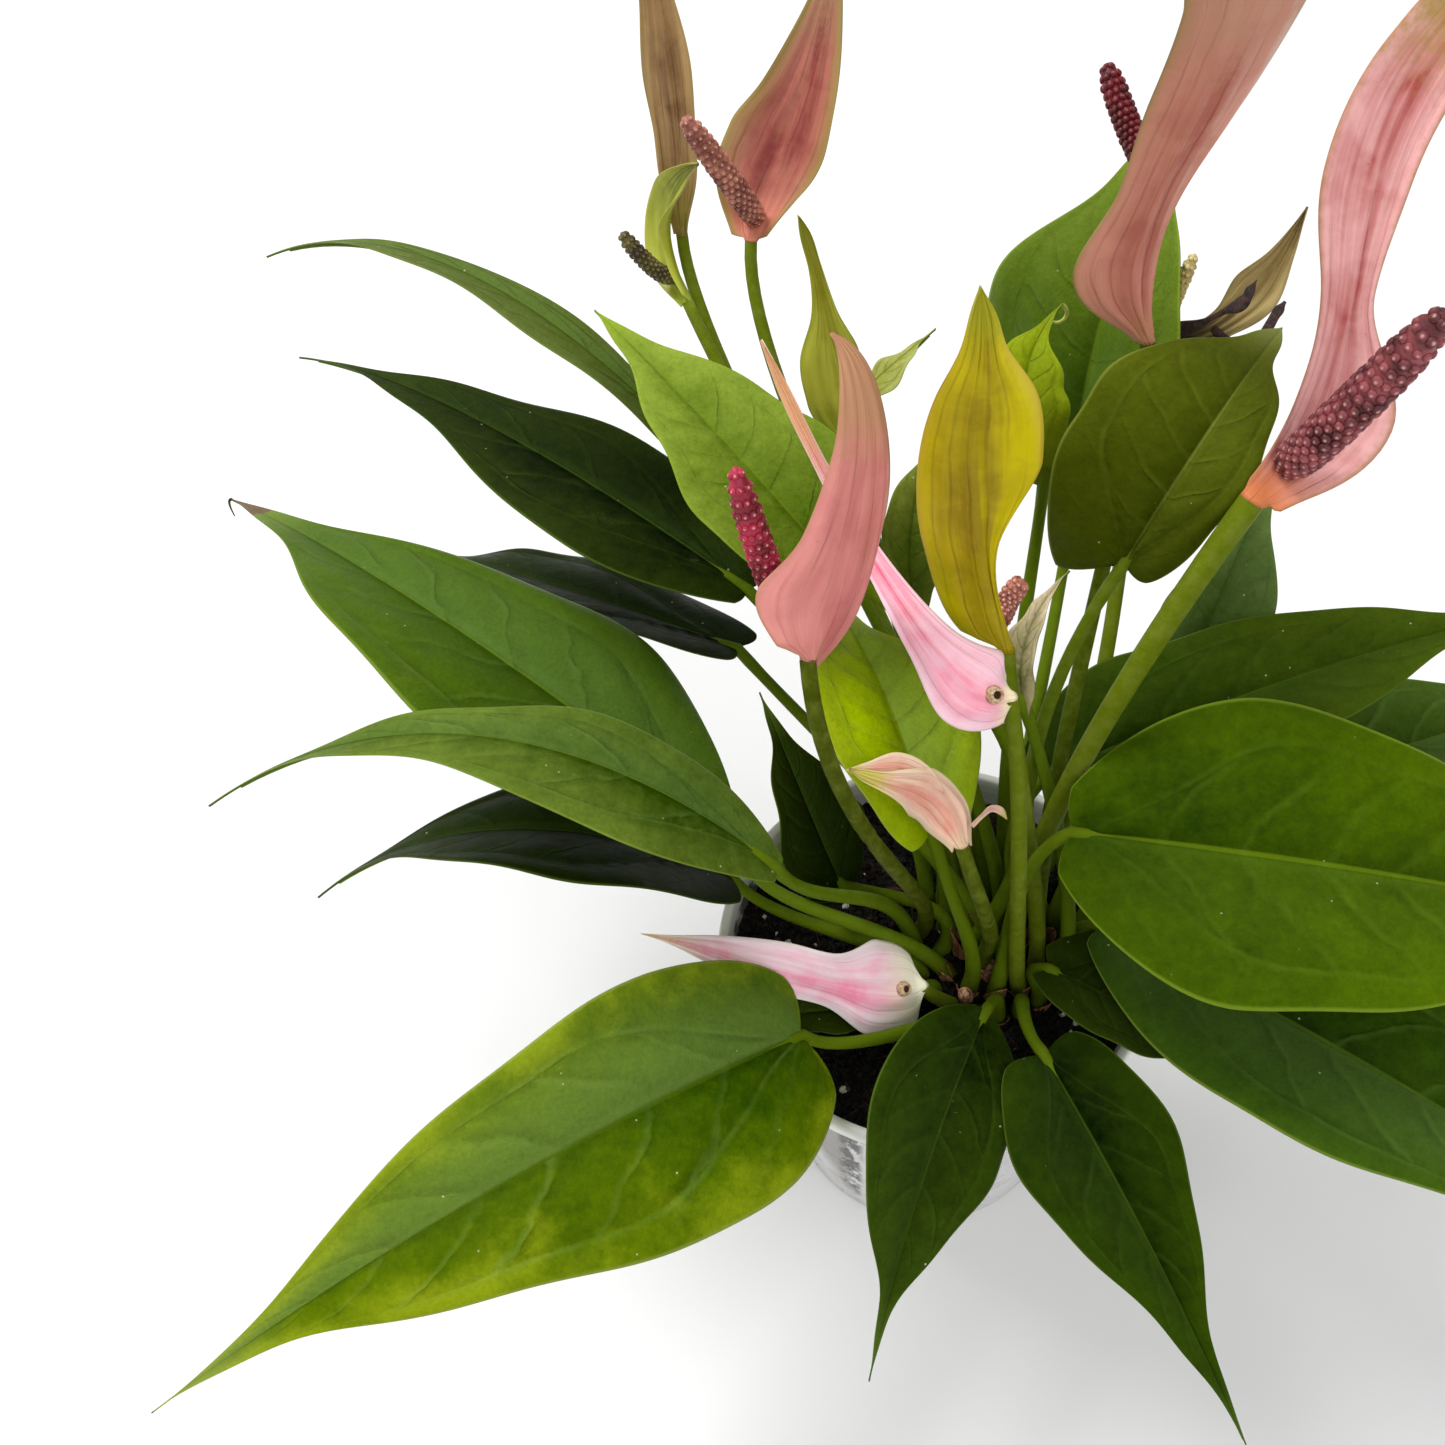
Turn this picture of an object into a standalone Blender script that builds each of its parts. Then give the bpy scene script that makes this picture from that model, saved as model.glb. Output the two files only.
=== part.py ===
"""Potted anthurium in a thin white grower's pot.

Twenty-six leaves and twelve blooms rise from one crown and stand in plain holes in dark potting mix.
The origin is the middle of the pot's foot, +Z is up and the front looks towards -Y.
All sizes below are in millimetres and become metres where a mesh is made.
"""
import math

import bmesh
import bpy
import numpy as np

MM = 0.001
GAP = 0.3
MERGE_DISTANCE = 0.00001

POT_HEIGHT = 90.0
POT_RIM_RADIUS = 52.5
POT_FOOT_RADIUS = 37.0
POT_WALL = 1.3
POT_FLOOR = 2.0
LIP_DEPTH = 3.0
LIP_OVERHANG = 0.9
POT_SIDES = 36

MIX_TOP = 82.0
HOLE_DEPTH = 14.0
HOLE_RADIUS = 2.55
HOLE_SIDES = 8
MIX_CLEARANCE = 0.36

CROWN_CENTRE = np.array([14.0, 1.0])
STEM_RINGS = {"inner": (6.4, 6), "middle": (12.2, 12), "outer": (18.0, 20)}
STEM_FOOT_RADIUS = 2.0
STEM_FOOT_DEPTH = 12.0
PETIOLE_TOP_RADIUS = 1.25
PEDUNCLE_TOP_RADIUS = 1.5

BLADE_THICKNESS = 0.7
RIB_THICKNESS = 1.2
BLADE_POINTS = 5
SPATHE_POINTS = 7
BLADE_STATIONS = (0.02, 0.07, 0.15, 0.27, 0.4, 0.54, 0.68, 0.81, 0.92, 1.0)
STEM_STATIONS = (0.2, 0.42, 0.64, 0.86)
PEDUNCLE_STATIONS = (0.14, 0.3, 0.46, 0.62, 0.78, 0.9)
SPATHE_STATIONS = (0.05, 0.13, 0.23, 0.34, 0.46, 0.58, 0.7, 0.82, 0.92, 1.0)
WIDTH_STATIONS = (0.05, 0.2, 0.4, 0.6, 0.8, 0.94, 1.0)
TIP_HALF_WIDTH = 0.5
PEDUNCLE_SIDES = 6
SPADIX_SIDES = 8
CROWN_SIDES = 10
FLORET_RELIEF = 0.06
LEAF_FOLD = math.radians(12)
LEAF_CUP = math.radians(-10)
LEAF_LOBES = (5.0, 5.0)
LEAF_BELLY = 0.3
LEAF_POINT = 1.75
LEAF_BLUNT = 0.5
LOBE_SHARE = 0.25
LEAF_UPTURN = 0.6
PETIOLE_RISE = 0.3
PETIOLE_REACH = 0.25
BLOOM_UPTURN = 1.2
PEDUNCLE_RISE = 0.35
PEDUNCLE_REACH = 0.3
SPADIX_SEAT = 0.08
SPADIX_LIFT = 8
STUB_SEAT = 0.1

UP = np.array([0.0, 0.0, 1.0])

COLOURS = {
    "pot_plastic": ((0.80, 0.80, 0.78), 0.35),
    "potting_mix": ((0.018, 0.013, 0.010), 0.95),
    "crown_sheath": ((0.16, 0.08, 0.035), 0.8),
    "leaf_dark": ((0.022, 0.070, 0.010), 0.32),
    "leaf_green": ((0.050, 0.150, 0.016), 0.32),
    "leaf_bright": ((0.120, 0.280, 0.020), 0.35),
    "leaf_yellow": ((0.200, 0.260, 0.025), 0.35),
    "leaf_olive": ((0.110, 0.130, 0.018), 0.4),
    "stem_green": ((0.130, 0.200, 0.030), 0.4),
    "spathe_pink": ((0.780, 0.300, 0.360), 0.38),
    "spathe_dusty": ((0.600, 0.230, 0.210), 0.4),
    "spathe_bronze": ((0.330, 0.290, 0.030), 0.4),
    "spathe_tan": ((0.480, 0.330, 0.200), 0.6),
    "spadix_crimson": ((0.420, 0.030, 0.090), 0.45),
    "spadix_purple": ((0.160, 0.030, 0.045), 0.5),
    "spadix_old": ((0.420, 0.380, 0.120), 0.6),
}

# Each leaf: where its stem stands (ring, slot), the blade's base and tip, how far its stem leans
# aside, the rise of the blade's middle above the chord (arch), its sway to the right and its lead
# towards the tip, its roll in degrees, its half widths and how far its lobes reach back, left and
# right, where it is widest (belly, a share of its length), how drawn out the point is and how blunt
# the base is.
LEAVES = {
    "leaf_front_left": dict(
        stand=("outer", 14), base=(-32, -30, 103), tip=(-160, -101, 95), lean=(0, -8), arch=22, sway=-5,
        roll=24, halves=(28.5, 25), belly=0.2, point=1.9, blunt=0.35, colour="leaf_yellow"),
    "leaf_front_narrow": dict(
        stand=("outer", 15), base=(10, -23, 98), tip=(-20, -95, 74), arch=13, sway=1, roll=25,
        halves=(16, 17.5), lobes=(0.0, 0.0), belly=0.28, point=2.0, blunt=0.66, colour="leaf_dark"),
    "leaf_front_right": dict(
        stand=("outer", 16), base=(21, -36, 102), tip=(57, -114, 74), arch=8, sway=1, roll=-15,
        halves=(16, 17), lobes=(3.0, 3.0), belly=0.23, point=2.5, blunt=0.3, colour="leaf_dark"),
    "leaf_right_small": dict(
        stand=("outer", 17), base=(25, -16, 103), tip=(65, -39, 92), arch=3, halves=(16, 11),
        colour="leaf_dark"),
    "leaf_right_low": dict(
        stand=("outer", 19), base=(38, -8, 108), tip=(148, -69, 72), arch=25, sway=12, roll=-10,
        halves=(23, 23), belly=0.27, point=1.3, blunt=0.6, colour="leaf_green"),
    "leaf_right_bright": dict(
        stand=("middle", 9), base=(26, -8, 147), tip=(149, -25, 128), lean=(2, -2), arch=12, sway=6,
        roll=-18, halves=(32, 32), belly=0.27, point=1.3, blunt=0.56, colour="leaf_bright"),
    "leaf_right_upper": dict(
        stand=("middle", 1), base=(26, 23, 123), tip=(148, 50, 149), lean=(-3, -7), arch=0, sway=-4,
        roll=-8, halves=(21, 19), belly=0.24, point=1.5, colour="leaf_dark"),
    "leaf_right_under": dict(
        stand=("outer", 0), base=(55, 25, 100), tip=(183, 59, 108), lean=(5, 0), arch=9, sway=5,
        halves=(23, 20), colour="leaf_green"),
    "leaf_right_back": dict(
        stand=("outer", 1), base=(69, 60, 105), tip=(88, 89, 156), lean=(-7, -7), arch=10, roll=10,
        halves=(13, 17), belly=0.28, point=1.3, colour="leaf_dark"),
    "leaf_olive": dict(
        stand=("outer", 2), base=(38, 34, 182), tip=(71, 68, 214), lean=(-14, -11), arch=19, sway=6,
        roll=-15, halves=(24, 12), lobes=(14, 2), point=1.2, blunt=0.3, colour="leaf_olive"),
    "leaf_back_large": dict(
        stand=("outer", 4), base=(39, 90, 158), tip=(55, 115, 235), lean=(0, 1), arch=14, roll=25,
        halves=(33, 26), belly=0.4, point=1.3, colour="leaf_bright"),
    "leaf_back_curled": dict(
        stand=("middle", 2), base=(24, 56, 188), tip=(28, 79, 214), lean=(-8, 5), arch=12, sway=-6,
        roll=-10, halves=(9, 9), belly=0.33, point=1.8, colour="leaf_bright"),
    "leaf_centre_yellow": dict(
        stand=("middle", 8), base=(-3, -5, 145), tip=(-22, 54, 153), lean=(2, -3), arch=9, roll=-20,
        halves=(18, 19), belly=0.33, point=1.3, blunt=0.45, colour="leaf_yellow"),
    "leaf_left_light": dict(
        stand=("inner", 3), base=(-22, 34, 186), tip=(-70, 85, 212), lean=(24, 4), arch=2,
        halves=(17, 19), belly=0.22, point=1.4, blunt=0.4, colour="leaf_bright"),
    "leaf_left_hidden": dict(
        stand=("middle", 3), base=(-22, 73, 160), tip=(-61, 120, 168), arch=10, halves=(9, 9),
        colour="leaf_dark"),
    "leaf_left_top": dict(
        stand=("outer", 8), base=(-50, 78, 175), tip=(-159, 142, 191), arch=24, roll=-10, halves=(8, 5),
        belly=0.2, point=1.4, blunt=0.35, colour="leaf_green"),
    "leaf_left_dark": dict(
        stand=("middle", 5), base=(-41, 52, 160), tip=(-161, 143, 160), lean=(3, 2), arch=11, lead=7,
        roll=-3, halves=(20, 18), belly=0.21, point=2.8, blunt=0.68, colour="leaf_dark"),
    "leaf_left_short": dict(
        stand=("inner", 5), base=(-45, 54, 138), tip=(-129, 107, 119), lean=(-7, -1), arch=6, sway=-2,
        lead=11, roll=-20, halves=(15, 15.5), belly=0.37, point=1.4, blunt=0.31, colour="leaf_dark"),
    "leaf_left_large": dict(
        stand=("middle", 7), base=(-45, 6, 129), tip=(-175, 104, 146), lean=(-13, -1), arch=18, sway=-4,
        roll=-20, halves=(31, 28), lobes=(0.0, 0.0), belly=0.28, point=1.6, blunt=0.75,
        colour="leaf_green"),
    "leaf_left_front": dict(
        stand=("outer", 10), base=(-36, -10, 141), tip=(-165, 18, 131), lean=(-4, 5), arch=31, sway=4,
        lead=-7, roll=-1, halves=(16, 11.5), belly=0.25, point=2.6, blunt=0.7, colour="leaf_green"),
    "leaf_left_low": dict(
        stand=("outer", 11), base=(-49, 15, 99), tip=(-152, 17, 92), lean=(-4, -4), arch=22, sway=2,
        roll=-22, halves=(22, 22), point=2.4, blunt=0.35, colour="leaf_dark"),
    "leaf_left_inner": dict(
        stand=("middle", 6), base=(-22, 8, 104), tip=(-39, 35, 144), lean=(9, 4), arch=9, sway=-3,
        roll=-14, halves=(12, 12), belly=0.31, point=1.7, colour="leaf_dark"),
    "leaf_small_low": dict(
        stand=("outer", 12), base=(-19, -19, 92), tip=(-45, -22, 94), lean=(0, -2), arch=4, sway=-1,
        halves=(6.5, 7), colour="leaf_dark"),
    "leaf_back_inner": dict(
        stand=("inner", 1), base=(-4, 42, 165), tip=(4, 60, 205), arch=7, sway=-2, halves=(6, 7.5),
        colour="leaf_dark"),
    "leaf_centre_narrow": dict(
        stand=("outer", 18), base=(18, 20, 156), tip=(27, 34, 181), lean=(5, -2), arch=3, sway=-3,
        roll=20, halves=(5, 4), colour="leaf_dark"),
    "leaf_young": dict(
        stand=("middle", 4), base=(-22, 74, 188), tip=(3, 91, 200), lean=(-2, 0), arch=5, sway=4,
        halves=(3, 5), colour="leaf_olive"),
}


# Each bloom: where its stem stands, four points that the spathe's midrib passes through, how far the
# stem leans aside, its radius at the top (stalk) and the share of its height that it climbs straight
# before it bends (rise), the way the spathe's inner side faces at the base and at the tip, its six
# half widths on the left and on the right as seen from that side, and how far it is cupped at the
# base and at the tip, in degrees.
BLOOMS = {
    "bloom_front": dict(
        stand=("outer", 9), points=((-27, -6, 202), (-21, 5, 215), (-17, 13, 236), (-21, 22, 250)),
        lean=(8, -6), rise=0.25, facing=((-0.4, 0.85, 0.0), (-0.4, 0.85, 0.1)),
        left=(8, 14.5, 12, 8.5, 4.5, 1.5), right=(8, 13.5, 7.5, 4.5, 3, 1), cup=(50, 30),
        colour="spathe_dusty"),
    "bloom_second": dict(
        stand=("middle", 10), points=((10, -5, 188), (-2, 1, 194), (-17, 25, 203), (-34, 55, 225)),
        lean=(-6, -12), facing=((0.1, -0.6, 0.8), (0.2, -0.6, 0.7)), left=(6, 9.5, 5, 2.5, 1.5, 1),
        right=(6, 9.5, 5, 2.5, 1.5, 1), cup=(-50, -20), colour="spathe_pink"),
    "bloom_young": dict(
        stand=("inner", 4), points=((2, -15, 154), (-3, -7, 159), (-10, -6, 163), (-20, -3, 165)),
        lean=(3, -1), facing=((0.1, -0.6, 0.8), (0.1, -0.6, 0.8)), left=(3, 6, 6, 4, 2, 1),
        right=(3, 6, 6, 4, 2, 1), cup=(-60, -20), colour="spathe_pink"),
    "bloom_tall": dict(
        stand=("middle", 0), points=((42, 61, 217), (39, 64, 243), (45, 59, 272), (43, 47, 302)),
        lean=(-7, 3), facing=((-0.4, 0.8, 0.2), (-0.2, 0.9, 0.2)), left=(3, 7, 9, 13, 14, 10),
        right=(3, 13, 8, 9.5, 10.5, 8), cup=(50, 20), colour="spathe_dusty"),
    "bloom_bronze": dict(
        stand=("middle", 11), points=((12, 13, 181), (4, 15, 219), (2, 9, 248), (0, 3, 271)),
        lean=(-1, -4), facing=((0.1, 0.9, 0.2), (0.1, 0.9, 0.1)), left=(1, 2.5, 12, 10, 3.5, 1.5),
        right=(12, 13, 11, 7.5, 3.5, 1.5), cup=(50, 20), colour="spathe_bronze"),
    "bloom_right": dict(
        stand=("inner", 0), points=((57, 25, 207), (76, 50, 226), (80, 67, 255), (102, 77, 282)),
        lean=(-5, -2), stalk=2.6, facing=((0.1, -0.6, 0.7), (-0.2, -0.8, 0.4)),
        left=(4, 6, 6.5, 10, 8, 5), right=(6, 14, 4, 6.5, 8, 6), cup=(20, 25), colour="spathe_pink"),
    "bloom_low": dict(
        stand=("outer", 13), points=((-4, -16, 97), (-21, -19, 105), (-42, -15, 110), (-68, -7, 110)),
        lean=(0, -2), facing=((0.0, -0.5, 0.85), (0.0, -0.5, 0.85)), left=(10, 12, 6.5, 6, 5, 2),
        right=(10, 12, 6.5, 6, 5, 2), cup=(-50, -20), colour="spathe_pink"),
    "bloom_dried": dict(
        stand=("outer", 3), points=((50, 88, 198), (62, 83, 203), (71, 84, 214), (76, 85, 230)),
        lean=(21, 10), facing=((-0.3, -0.6, 0.6), (-0.3, -0.6, 0.6)), left=(2, 2.5, 3.5, 5.5, 2.5, 0.8),
        right=(2, 2.5, 3.5, 5.5, 2.5, 0.8), cup=(50, 20), colour="spathe_tan"),
    "bloom_upper_left": dict(
        stand=("outer", 5), points=((-38, 127, 200), (-31, 141, 212), (-23, 150, 228), (-15, 170, 252)),
        facing=((-0.3, -0.6, 0.6), (-0.3, -0.7, 0.4)), left=(6, 13, 14, 10, 5.5, 2),
        right=(6, 11, 13, 10, 5.5, 2), cup=(50, 20), colour="spathe_dusty"),
    "bloom_hood": dict(
        stand=("outer", 7), points=((-55, 131, 181), (-60, 146, 190), (-57, 147, 202), (-50, 139, 213)),
        lean=(7, -6), facing=((-0.8, -0.3, 0.2), (-0.8, -0.3, -0.2)), left=(3, 7, 8, 6, 3, 1),
        right=(3, 5, 6, 5, 3, 1), cup=(70, 50), colour="leaf_bright"),
    "bloom_tan": dict(
        stand=("outer", 6), points=((-56, 146, 190), (-56, 160, 205), (-57, 171, 222), (-62, 194, 245)),
        facing=((-0.2, -0.7, 0.5), (-0.2, -0.7, 0.5)), left=(2.5, 5, 6, 7, 5, 2.5),
        right=(2, 6, 6.5, 7, 5, 2.5), cup=(60, 40), colour="spathe_tan"),
    "bloom_closed": dict(
        stand=("inner", 2), points=((-17, 66, 190), (-20, 70, 205), (-22, 73, 221), (-26, 74, 239)),
        facing=((0.1, -0.7, 0.5), (0.1, -0.7, 0.5)), left=(4, 7.5, 7, 3, 1.5, 1),
        right=(4, 7.5, 7, 3, 1.5, 1), cup=(-60, -30), colour="leaf_olive"),
}

# Each spadix: its tip and radius, where on the spathe it is seated (a share of the spathe's length)
# and how far it rises straight off the spathe before it bends to the tip.
SPADICES = {
    "bloom_front": dict(tip=(-38, 11, 232), radius=2.8, colour="spadix_crimson"),
    "bloom_tall": dict(tip=(31, 83, 262), radius=2.5, seat=0.4, lift=10, colour="spadix_crimson"),
    "bloom_bronze": dict(tip=(15, 21, 192), radius=2.3, colour="spadix_purple", seat=0.05, lift=6),
    "bloom_right": dict(tip=(79, 22, 250), radius=4.2, colour="spadix_purple"),
    "bloom_upper_left": dict(tip=(-51, 129, 230), radius=3.0, colour="spadix_purple"),
    "bloom_hood": dict(tip=(-70, 139, 196), radius=2.2, seat=0.12, lift=5, colour="spadix_purple"),
    "bloom_dried": dict(tip=(55, 84, 221), radius=1.8, seat=0.06, lift=4, colour="spadix_old"),
}

# Two blooms have dropped their spadix, and two have a spathe that grew as one with its stem.
STUBS = ("bloom_second", "bloom_low")
STUB_RADIUS = 1.6
STUB_LENGTH = 2.0
FUSED_BLOOMS = ("bloom_hood", "bloom_closed")


def unit(vector):
    """The vector at length one."""
    return vector / np.linalg.norm(vector)


def bezier(points, t):
    """Point and direction on a Bezier curve of any degree."""
    level = [np.asarray(point, float) for point in points]
    while len(level) > 2:
        level = [(1 - t) * a + t * b for a, b in zip(level, level[1:])]
    return (1 - t) * level[0] + t * level[1], unit(level[1] - level[0])


def circle_ring(centre, side, along, radius, count):
    """A ring across the way along, whose first half runs left to right over the upper side."""
    side = unit(side - np.dot(side, along) * along)
    face = np.cross(side, along)
    step = 2 * math.pi / count
    angles = [math.pi - step / 2 - k * step for k in range(count)]
    return [centre + radius * (math.cos(a) * side + math.sin(a) * face) for a in angles]


def blade_ring(centre, side, face, along, halves, fold, cup, sweeps, rib, points):
    """A thin cross-section: upper points left to right, then lower points right to left."""
    upper = []
    lower = []
    for u in np.linspace(-1, 1, points):
        half = halves[0] if u < 0 else halves[1]
        sweep = sweeps[0] if u < 0 else sweeps[1]
        bend = cup * abs(u)
        reach = half * (math.sin(bend) / cup if abs(cup) > 0.01 else abs(u))
        rise = half * ((1 - math.cos(bend)) / cup if abs(cup) > 0.01 else 0.0)
        out = reach * math.cos(fold) - rise * math.sin(fold)
        lift = reach * math.sin(fold) + rise * math.cos(fold)
        tilt = fold + bend
        point = centre + math.copysign(out, u) * side + lift * face - sweep * u * u * along
        normal = math.cos(tilt) * face - math.copysign(math.sin(tilt), u) * side * (u != 0)
        upper.append(point)
        lower.append(point - (BLADE_THICKNESS + rib * (u == 0)) * normal)
    return upper + lower[::-1]


def loft_faces(row_count, ring_size):
    """Triangles of a closed loft, split alike on both faces of a blade, with a cap at each end."""
    faces = []
    half = ring_size // 2
    middle = (half - 1) / 2
    for row in range(row_count - 1):
        for k in range(ring_size):
            here = row * ring_size + k
            beside = row * ring_size + (k + 1) % ring_size
            over_here = here + ring_size
            over_beside = beside + ring_size
            on_top = k < half - 1
            twin = k if on_top else ring_size - 2 - k
            rising = (twin < middle) == on_top
            if rising:
                faces += [(here, beside, over_beside), (here, over_beside, over_here)]
            else:
                faces += [(here, beside, over_here), (beside, over_beside, over_here)]
    last = (row_count - 1) * ring_size
    for k in range(half - 1):
        across = (k, k + 1, ring_size - 2 - k, ring_size - 1 - k)
        faces += [(across[0], across[2], across[1]), (across[0], across[3], across[2])]
        a, b, c, d = [last + index for index in across]
        faces += [(a, b, c), (a, c, d)]
    return faces


def stem_rings(spec, target, direction, rise, reach, tip_radius, side, stations, count):
    """Rings of a stem from its foot in the mix up to the target, arriving along the direction."""
    stand = spec["stand"]
    ring_radius, slots = STEM_RINGS[stand[0]]
    angle = 2 * math.pi * stand[1] / slots
    foot = CROWN_CENTRE + ring_radius * np.array([math.cos(angle), math.sin(angle)])
    ground = np.array([foot[0], foot[1], MIX_TOP])
    lean = np.array([*spec.get("lean", (0, 0)), 0.0])
    curve = (ground, ground + rise * UP + lean, target - reach * direction + lean, target)
    rings = [circle_ring(ground - STEM_FOOT_DEPTH * UP, side, UP, STEM_FOOT_RADIUS, count)]
    rings.append(circle_ring(ground, side, UP, STEM_FOOT_RADIUS, count))
    for s in stations:
        centre, along = bezier(curve, s)
        radius = STEM_FOOT_RADIUS + (tip_radius - STEM_FOOT_RADIUS) * s
        rings.append(circle_ring(centre, side, along, radius, count))
    return rings


def make_mesh_object(name, rings, colour, collection):
    """A closed loft through the rings as one object with its own material."""
    ring_size = len(rings[0])
    vertices = [tuple(MM * point) for ring in rings for point in ring]
    mesh = bpy.data.meshes.new(name)
    mesh.from_pydata(vertices, [], loft_faces(len(rings), ring_size))
    finish(mesh, name, colour, collection)


def finish(mesh, name, colour, collection):
    """Turns the normals outward and links the mesh as an object with its own material."""
    work = bmesh.new()
    work.from_mesh(mesh)
    bmesh.ops.recalc_face_normals(work, faces=work.faces)
    work.to_mesh(mesh)
    work.free()
    tint, roughness = COLOURS[colour]
    material = bpy.data.materials.new(name)
    material.use_nodes = True
    shader = material.node_tree.nodes["Principled BSDF"]
    shader.inputs["Base Color"].default_value = (*tint, 1.0)
    shader.inputs["Roughness"].default_value = roughness
    shader.inputs["Metallic"].default_value = 0.0
    material.diffuse_color = (*tint, 1.0)
    mesh.materials.append(material)
    mesh.shade_smooth()
    item = bpy.data.objects.new(name, mesh)
    collection.objects.link(item)
    return item


def leaf_width(v, belly, point, blunt):
    """Share of the full half width at v: widest at the belly, drawn out to a long point."""
    if v < belly:
        return math.sin(0.5 * math.pi * v / belly) ** blunt
    past = (v - belly) / (1 - belly)
    return (1 - past) ** point * (1 + point * past)


def make_leaf(name, spec, collection):
    """Petiole and blade in one body."""
    base = np.array(spec["base"], float)
    tip = np.array(spec["tip"], float)
    chord = unit(tip - base)
    side = unit(np.cross(chord, UP))
    face = np.cross(side, chord)
    bend = spec["arch"] * face + spec.get("sway", 0) * side + spec.get("lead", 0) * chord
    control = (base + tip) / 2 + 2 * bend
    roll = math.radians(spec.get("roll", 0))
    side = math.cos(roll) * side + math.sin(roll) * face
    spine = (base, control, tip)
    entry = unit(unit(control - base) + LEAF_UPTURN * UP)
    distance = np.linalg.norm(base[:2] - CROWN_CENTRE) + base[2] - MIX_TOP
    rings = stem_rings(spec, base, entry, PETIOLE_RISE * distance, PETIOLE_REACH * distance,
                       PETIOLE_TOP_RADIUS, side, STEM_STATIONS, 2 * BLADE_POINTS)
    for v in BLADE_STATIONS:
        centre, along = bezier(spine, v)
        across = unit(side - np.dot(side, along) * along)
        up = np.cross(across, along)
        share = leaf_width(v, spec.get("belly", LEAF_BELLY), spec.get("point", LEAF_POINT),
                           spec.get("blunt", LEAF_BLUNT))
        halves = [max(TIP_HALF_WIDTH, half * share) for half in spec["halves"]]
        lobes = spec.get("lobes", LEAF_LOBES)
        sweeps = [lobe * max(0.0, 1 - v / LOBE_SHARE) ** 2 for lobe in lobes]
        rib = RIB_THICKNESS * (1 - v) ** 2
        rings.append(blade_ring(centre, across, up, along, halves, LEAF_FOLD, LEAF_CUP, sweeps, rib,
                                BLADE_POINTS))
    make_mesh_object(name, rings, spec["colour"], collection)


def spathe_frame(spec, v):
    """Midrib point, side, inner face and direction of a spathe at v."""
    p0, p1, p2, p3 = [np.array(point, float) for point in spec["points"]]
    first = (-5 * p0 + 18 * p1 - 9 * p2 + 2 * p3) / 6
    second = (2 * p0 - 9 * p1 + 18 * p2 - 5 * p3) / 6
    centre, along = bezier((p0, first, second, p3), v)
    facing = (1 - v) * np.array(spec["facing"][0]) + v * np.array(spec["facing"][1])
    face = unit(facing - np.dot(facing, along) * along)
    return centre, np.cross(along, face), face, along


def spathe_rings(spec, stations):
    """Cross-sections of a cupped spathe from its neck to its tip."""
    rings = []
    for v in stations:
        centre, side, face, along = spathe_frame(spec, v)
        halves = []
        for widths in (spec["left"], spec["right"]):
            halves.append(float(np.interp(v, WIDTH_STATIONS, (*widths, TIP_HALF_WIDTH))))
        cup = math.radians(spec["cup"][0] * (1 - v) + spec["cup"][1] * v)
        rib = RIB_THICKNESS * (1 - v) ** 2
        rings.append(blade_ring(centre, side, face, along, halves, 0.0, cup, (0.0, 0.0), rib,
                                SPATHE_POINTS))
    return rings


def make_bloom(name, spec, collection):
    """Peduncle, spathe and spadix, or the stub of one, each as its own body unless fused."""
    junction, side, face, along = spathe_frame(spec, 0.0)
    fused = name in FUSED_BLOOMS
    count = 2 * SPATHE_POINTS if fused else PEDUNCLE_SIDES
    height = junction[2] - MIX_TOP
    entry = unit(along + BLOOM_UPTURN * UP)
    top = junction - (0.0 if fused else GAP) * entry
    radius = spec.get("stalk", PEDUNCLE_TOP_RADIUS)
    rise = spec.get("rise", PEDUNCLE_RISE) * height
    reach = PEDUNCLE_REACH * height
    rings = stem_rings(spec, top, entry, rise, reach, radius, side, PEDUNCLE_STATIONS, count)
    if fused:
        rings += spathe_rings(spec, SPATHE_STATIONS)
        make_mesh_object(name + "_spathe", rings, spec["colour"], collection)
    else:
        rings.append(circle_ring(top, side, entry, radius, count))
        make_mesh_object(name + "_peduncle", rings, "stem_green", collection)
        neck = [circle_ring(junction, side, entry, radius, 2 * SPATHE_POINTS)]
        make_mesh_object(name + "_spathe", neck + spathe_rings(spec, SPATHE_STATIONS),
                         spec["colour"], collection)
    if name in SPADICES:
        make_spadix(name + "_spadix", spec, SPADICES[name], collection)
    if name in STUBS:
        make_stub(name + "_stub", spec, collection)


def floret_ring(centre, ring, row):
    """The ring with every other point raised, in turn from row to row, as the florets stand."""
    relief = [1 + FLORET_RELIEF * (-1) ** (row + k) for k in range(len(ring))]
    return [centre + (point - centre) * raised for point, raised in zip(ring, relief)]


def make_spadix(name, spathe, spec, collection):
    """A blunt rod with small florets in alternate rows, seated on the spathe's inner face."""
    seat, side, face, along = spathe_frame(spathe, spec.get("seat", SPADIX_SEAT))
    foot = seat + GAP * face
    tip = np.array(spec["tip"], float)
    curve = (foot, foot + spec.get("lift", SPADIX_LIFT) * face, tip)
    across = unit(np.cross(tip - foot, face))
    profile = ((0.0, 0.3), (0.05, 0.8), (0.16, 0.95), (0.32, 1.0), (0.5, 1.0), (0.7, 0.98),
               (0.87, 0.91), (0.96, 0.68), (1.0, 0.25))
    rings = []
    for row, (share, width) in enumerate(profile):
        centre, axis = bezier(curve, share)
        ring = circle_ring(centre, across, axis, spec["radius"] * width, SPADIX_SIDES)
        rings.append(floret_ring(centre, ring, row))
    make_mesh_object(name, rings, spec["colour"], collection)


def make_stub(name, spathe, collection):
    """What is left of a spadix that has dropped: a short ring-shaped scar."""
    seat, side, face, along = spathe_frame(spathe, STUB_SEAT)
    outline = ((GAP, STUB_RADIUS), (STUB_LENGTH, STUB_RADIUS), (0.6 * STUB_LENGTH, 0.5 * STUB_RADIUS))
    rings = []
    for height, radius in outline:
        rings.append(circle_ring(seat + height * face, along, face, radius, SPADIX_SIDES))
    make_mesh_object(name, rings, "crown_sheath", collection)


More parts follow.
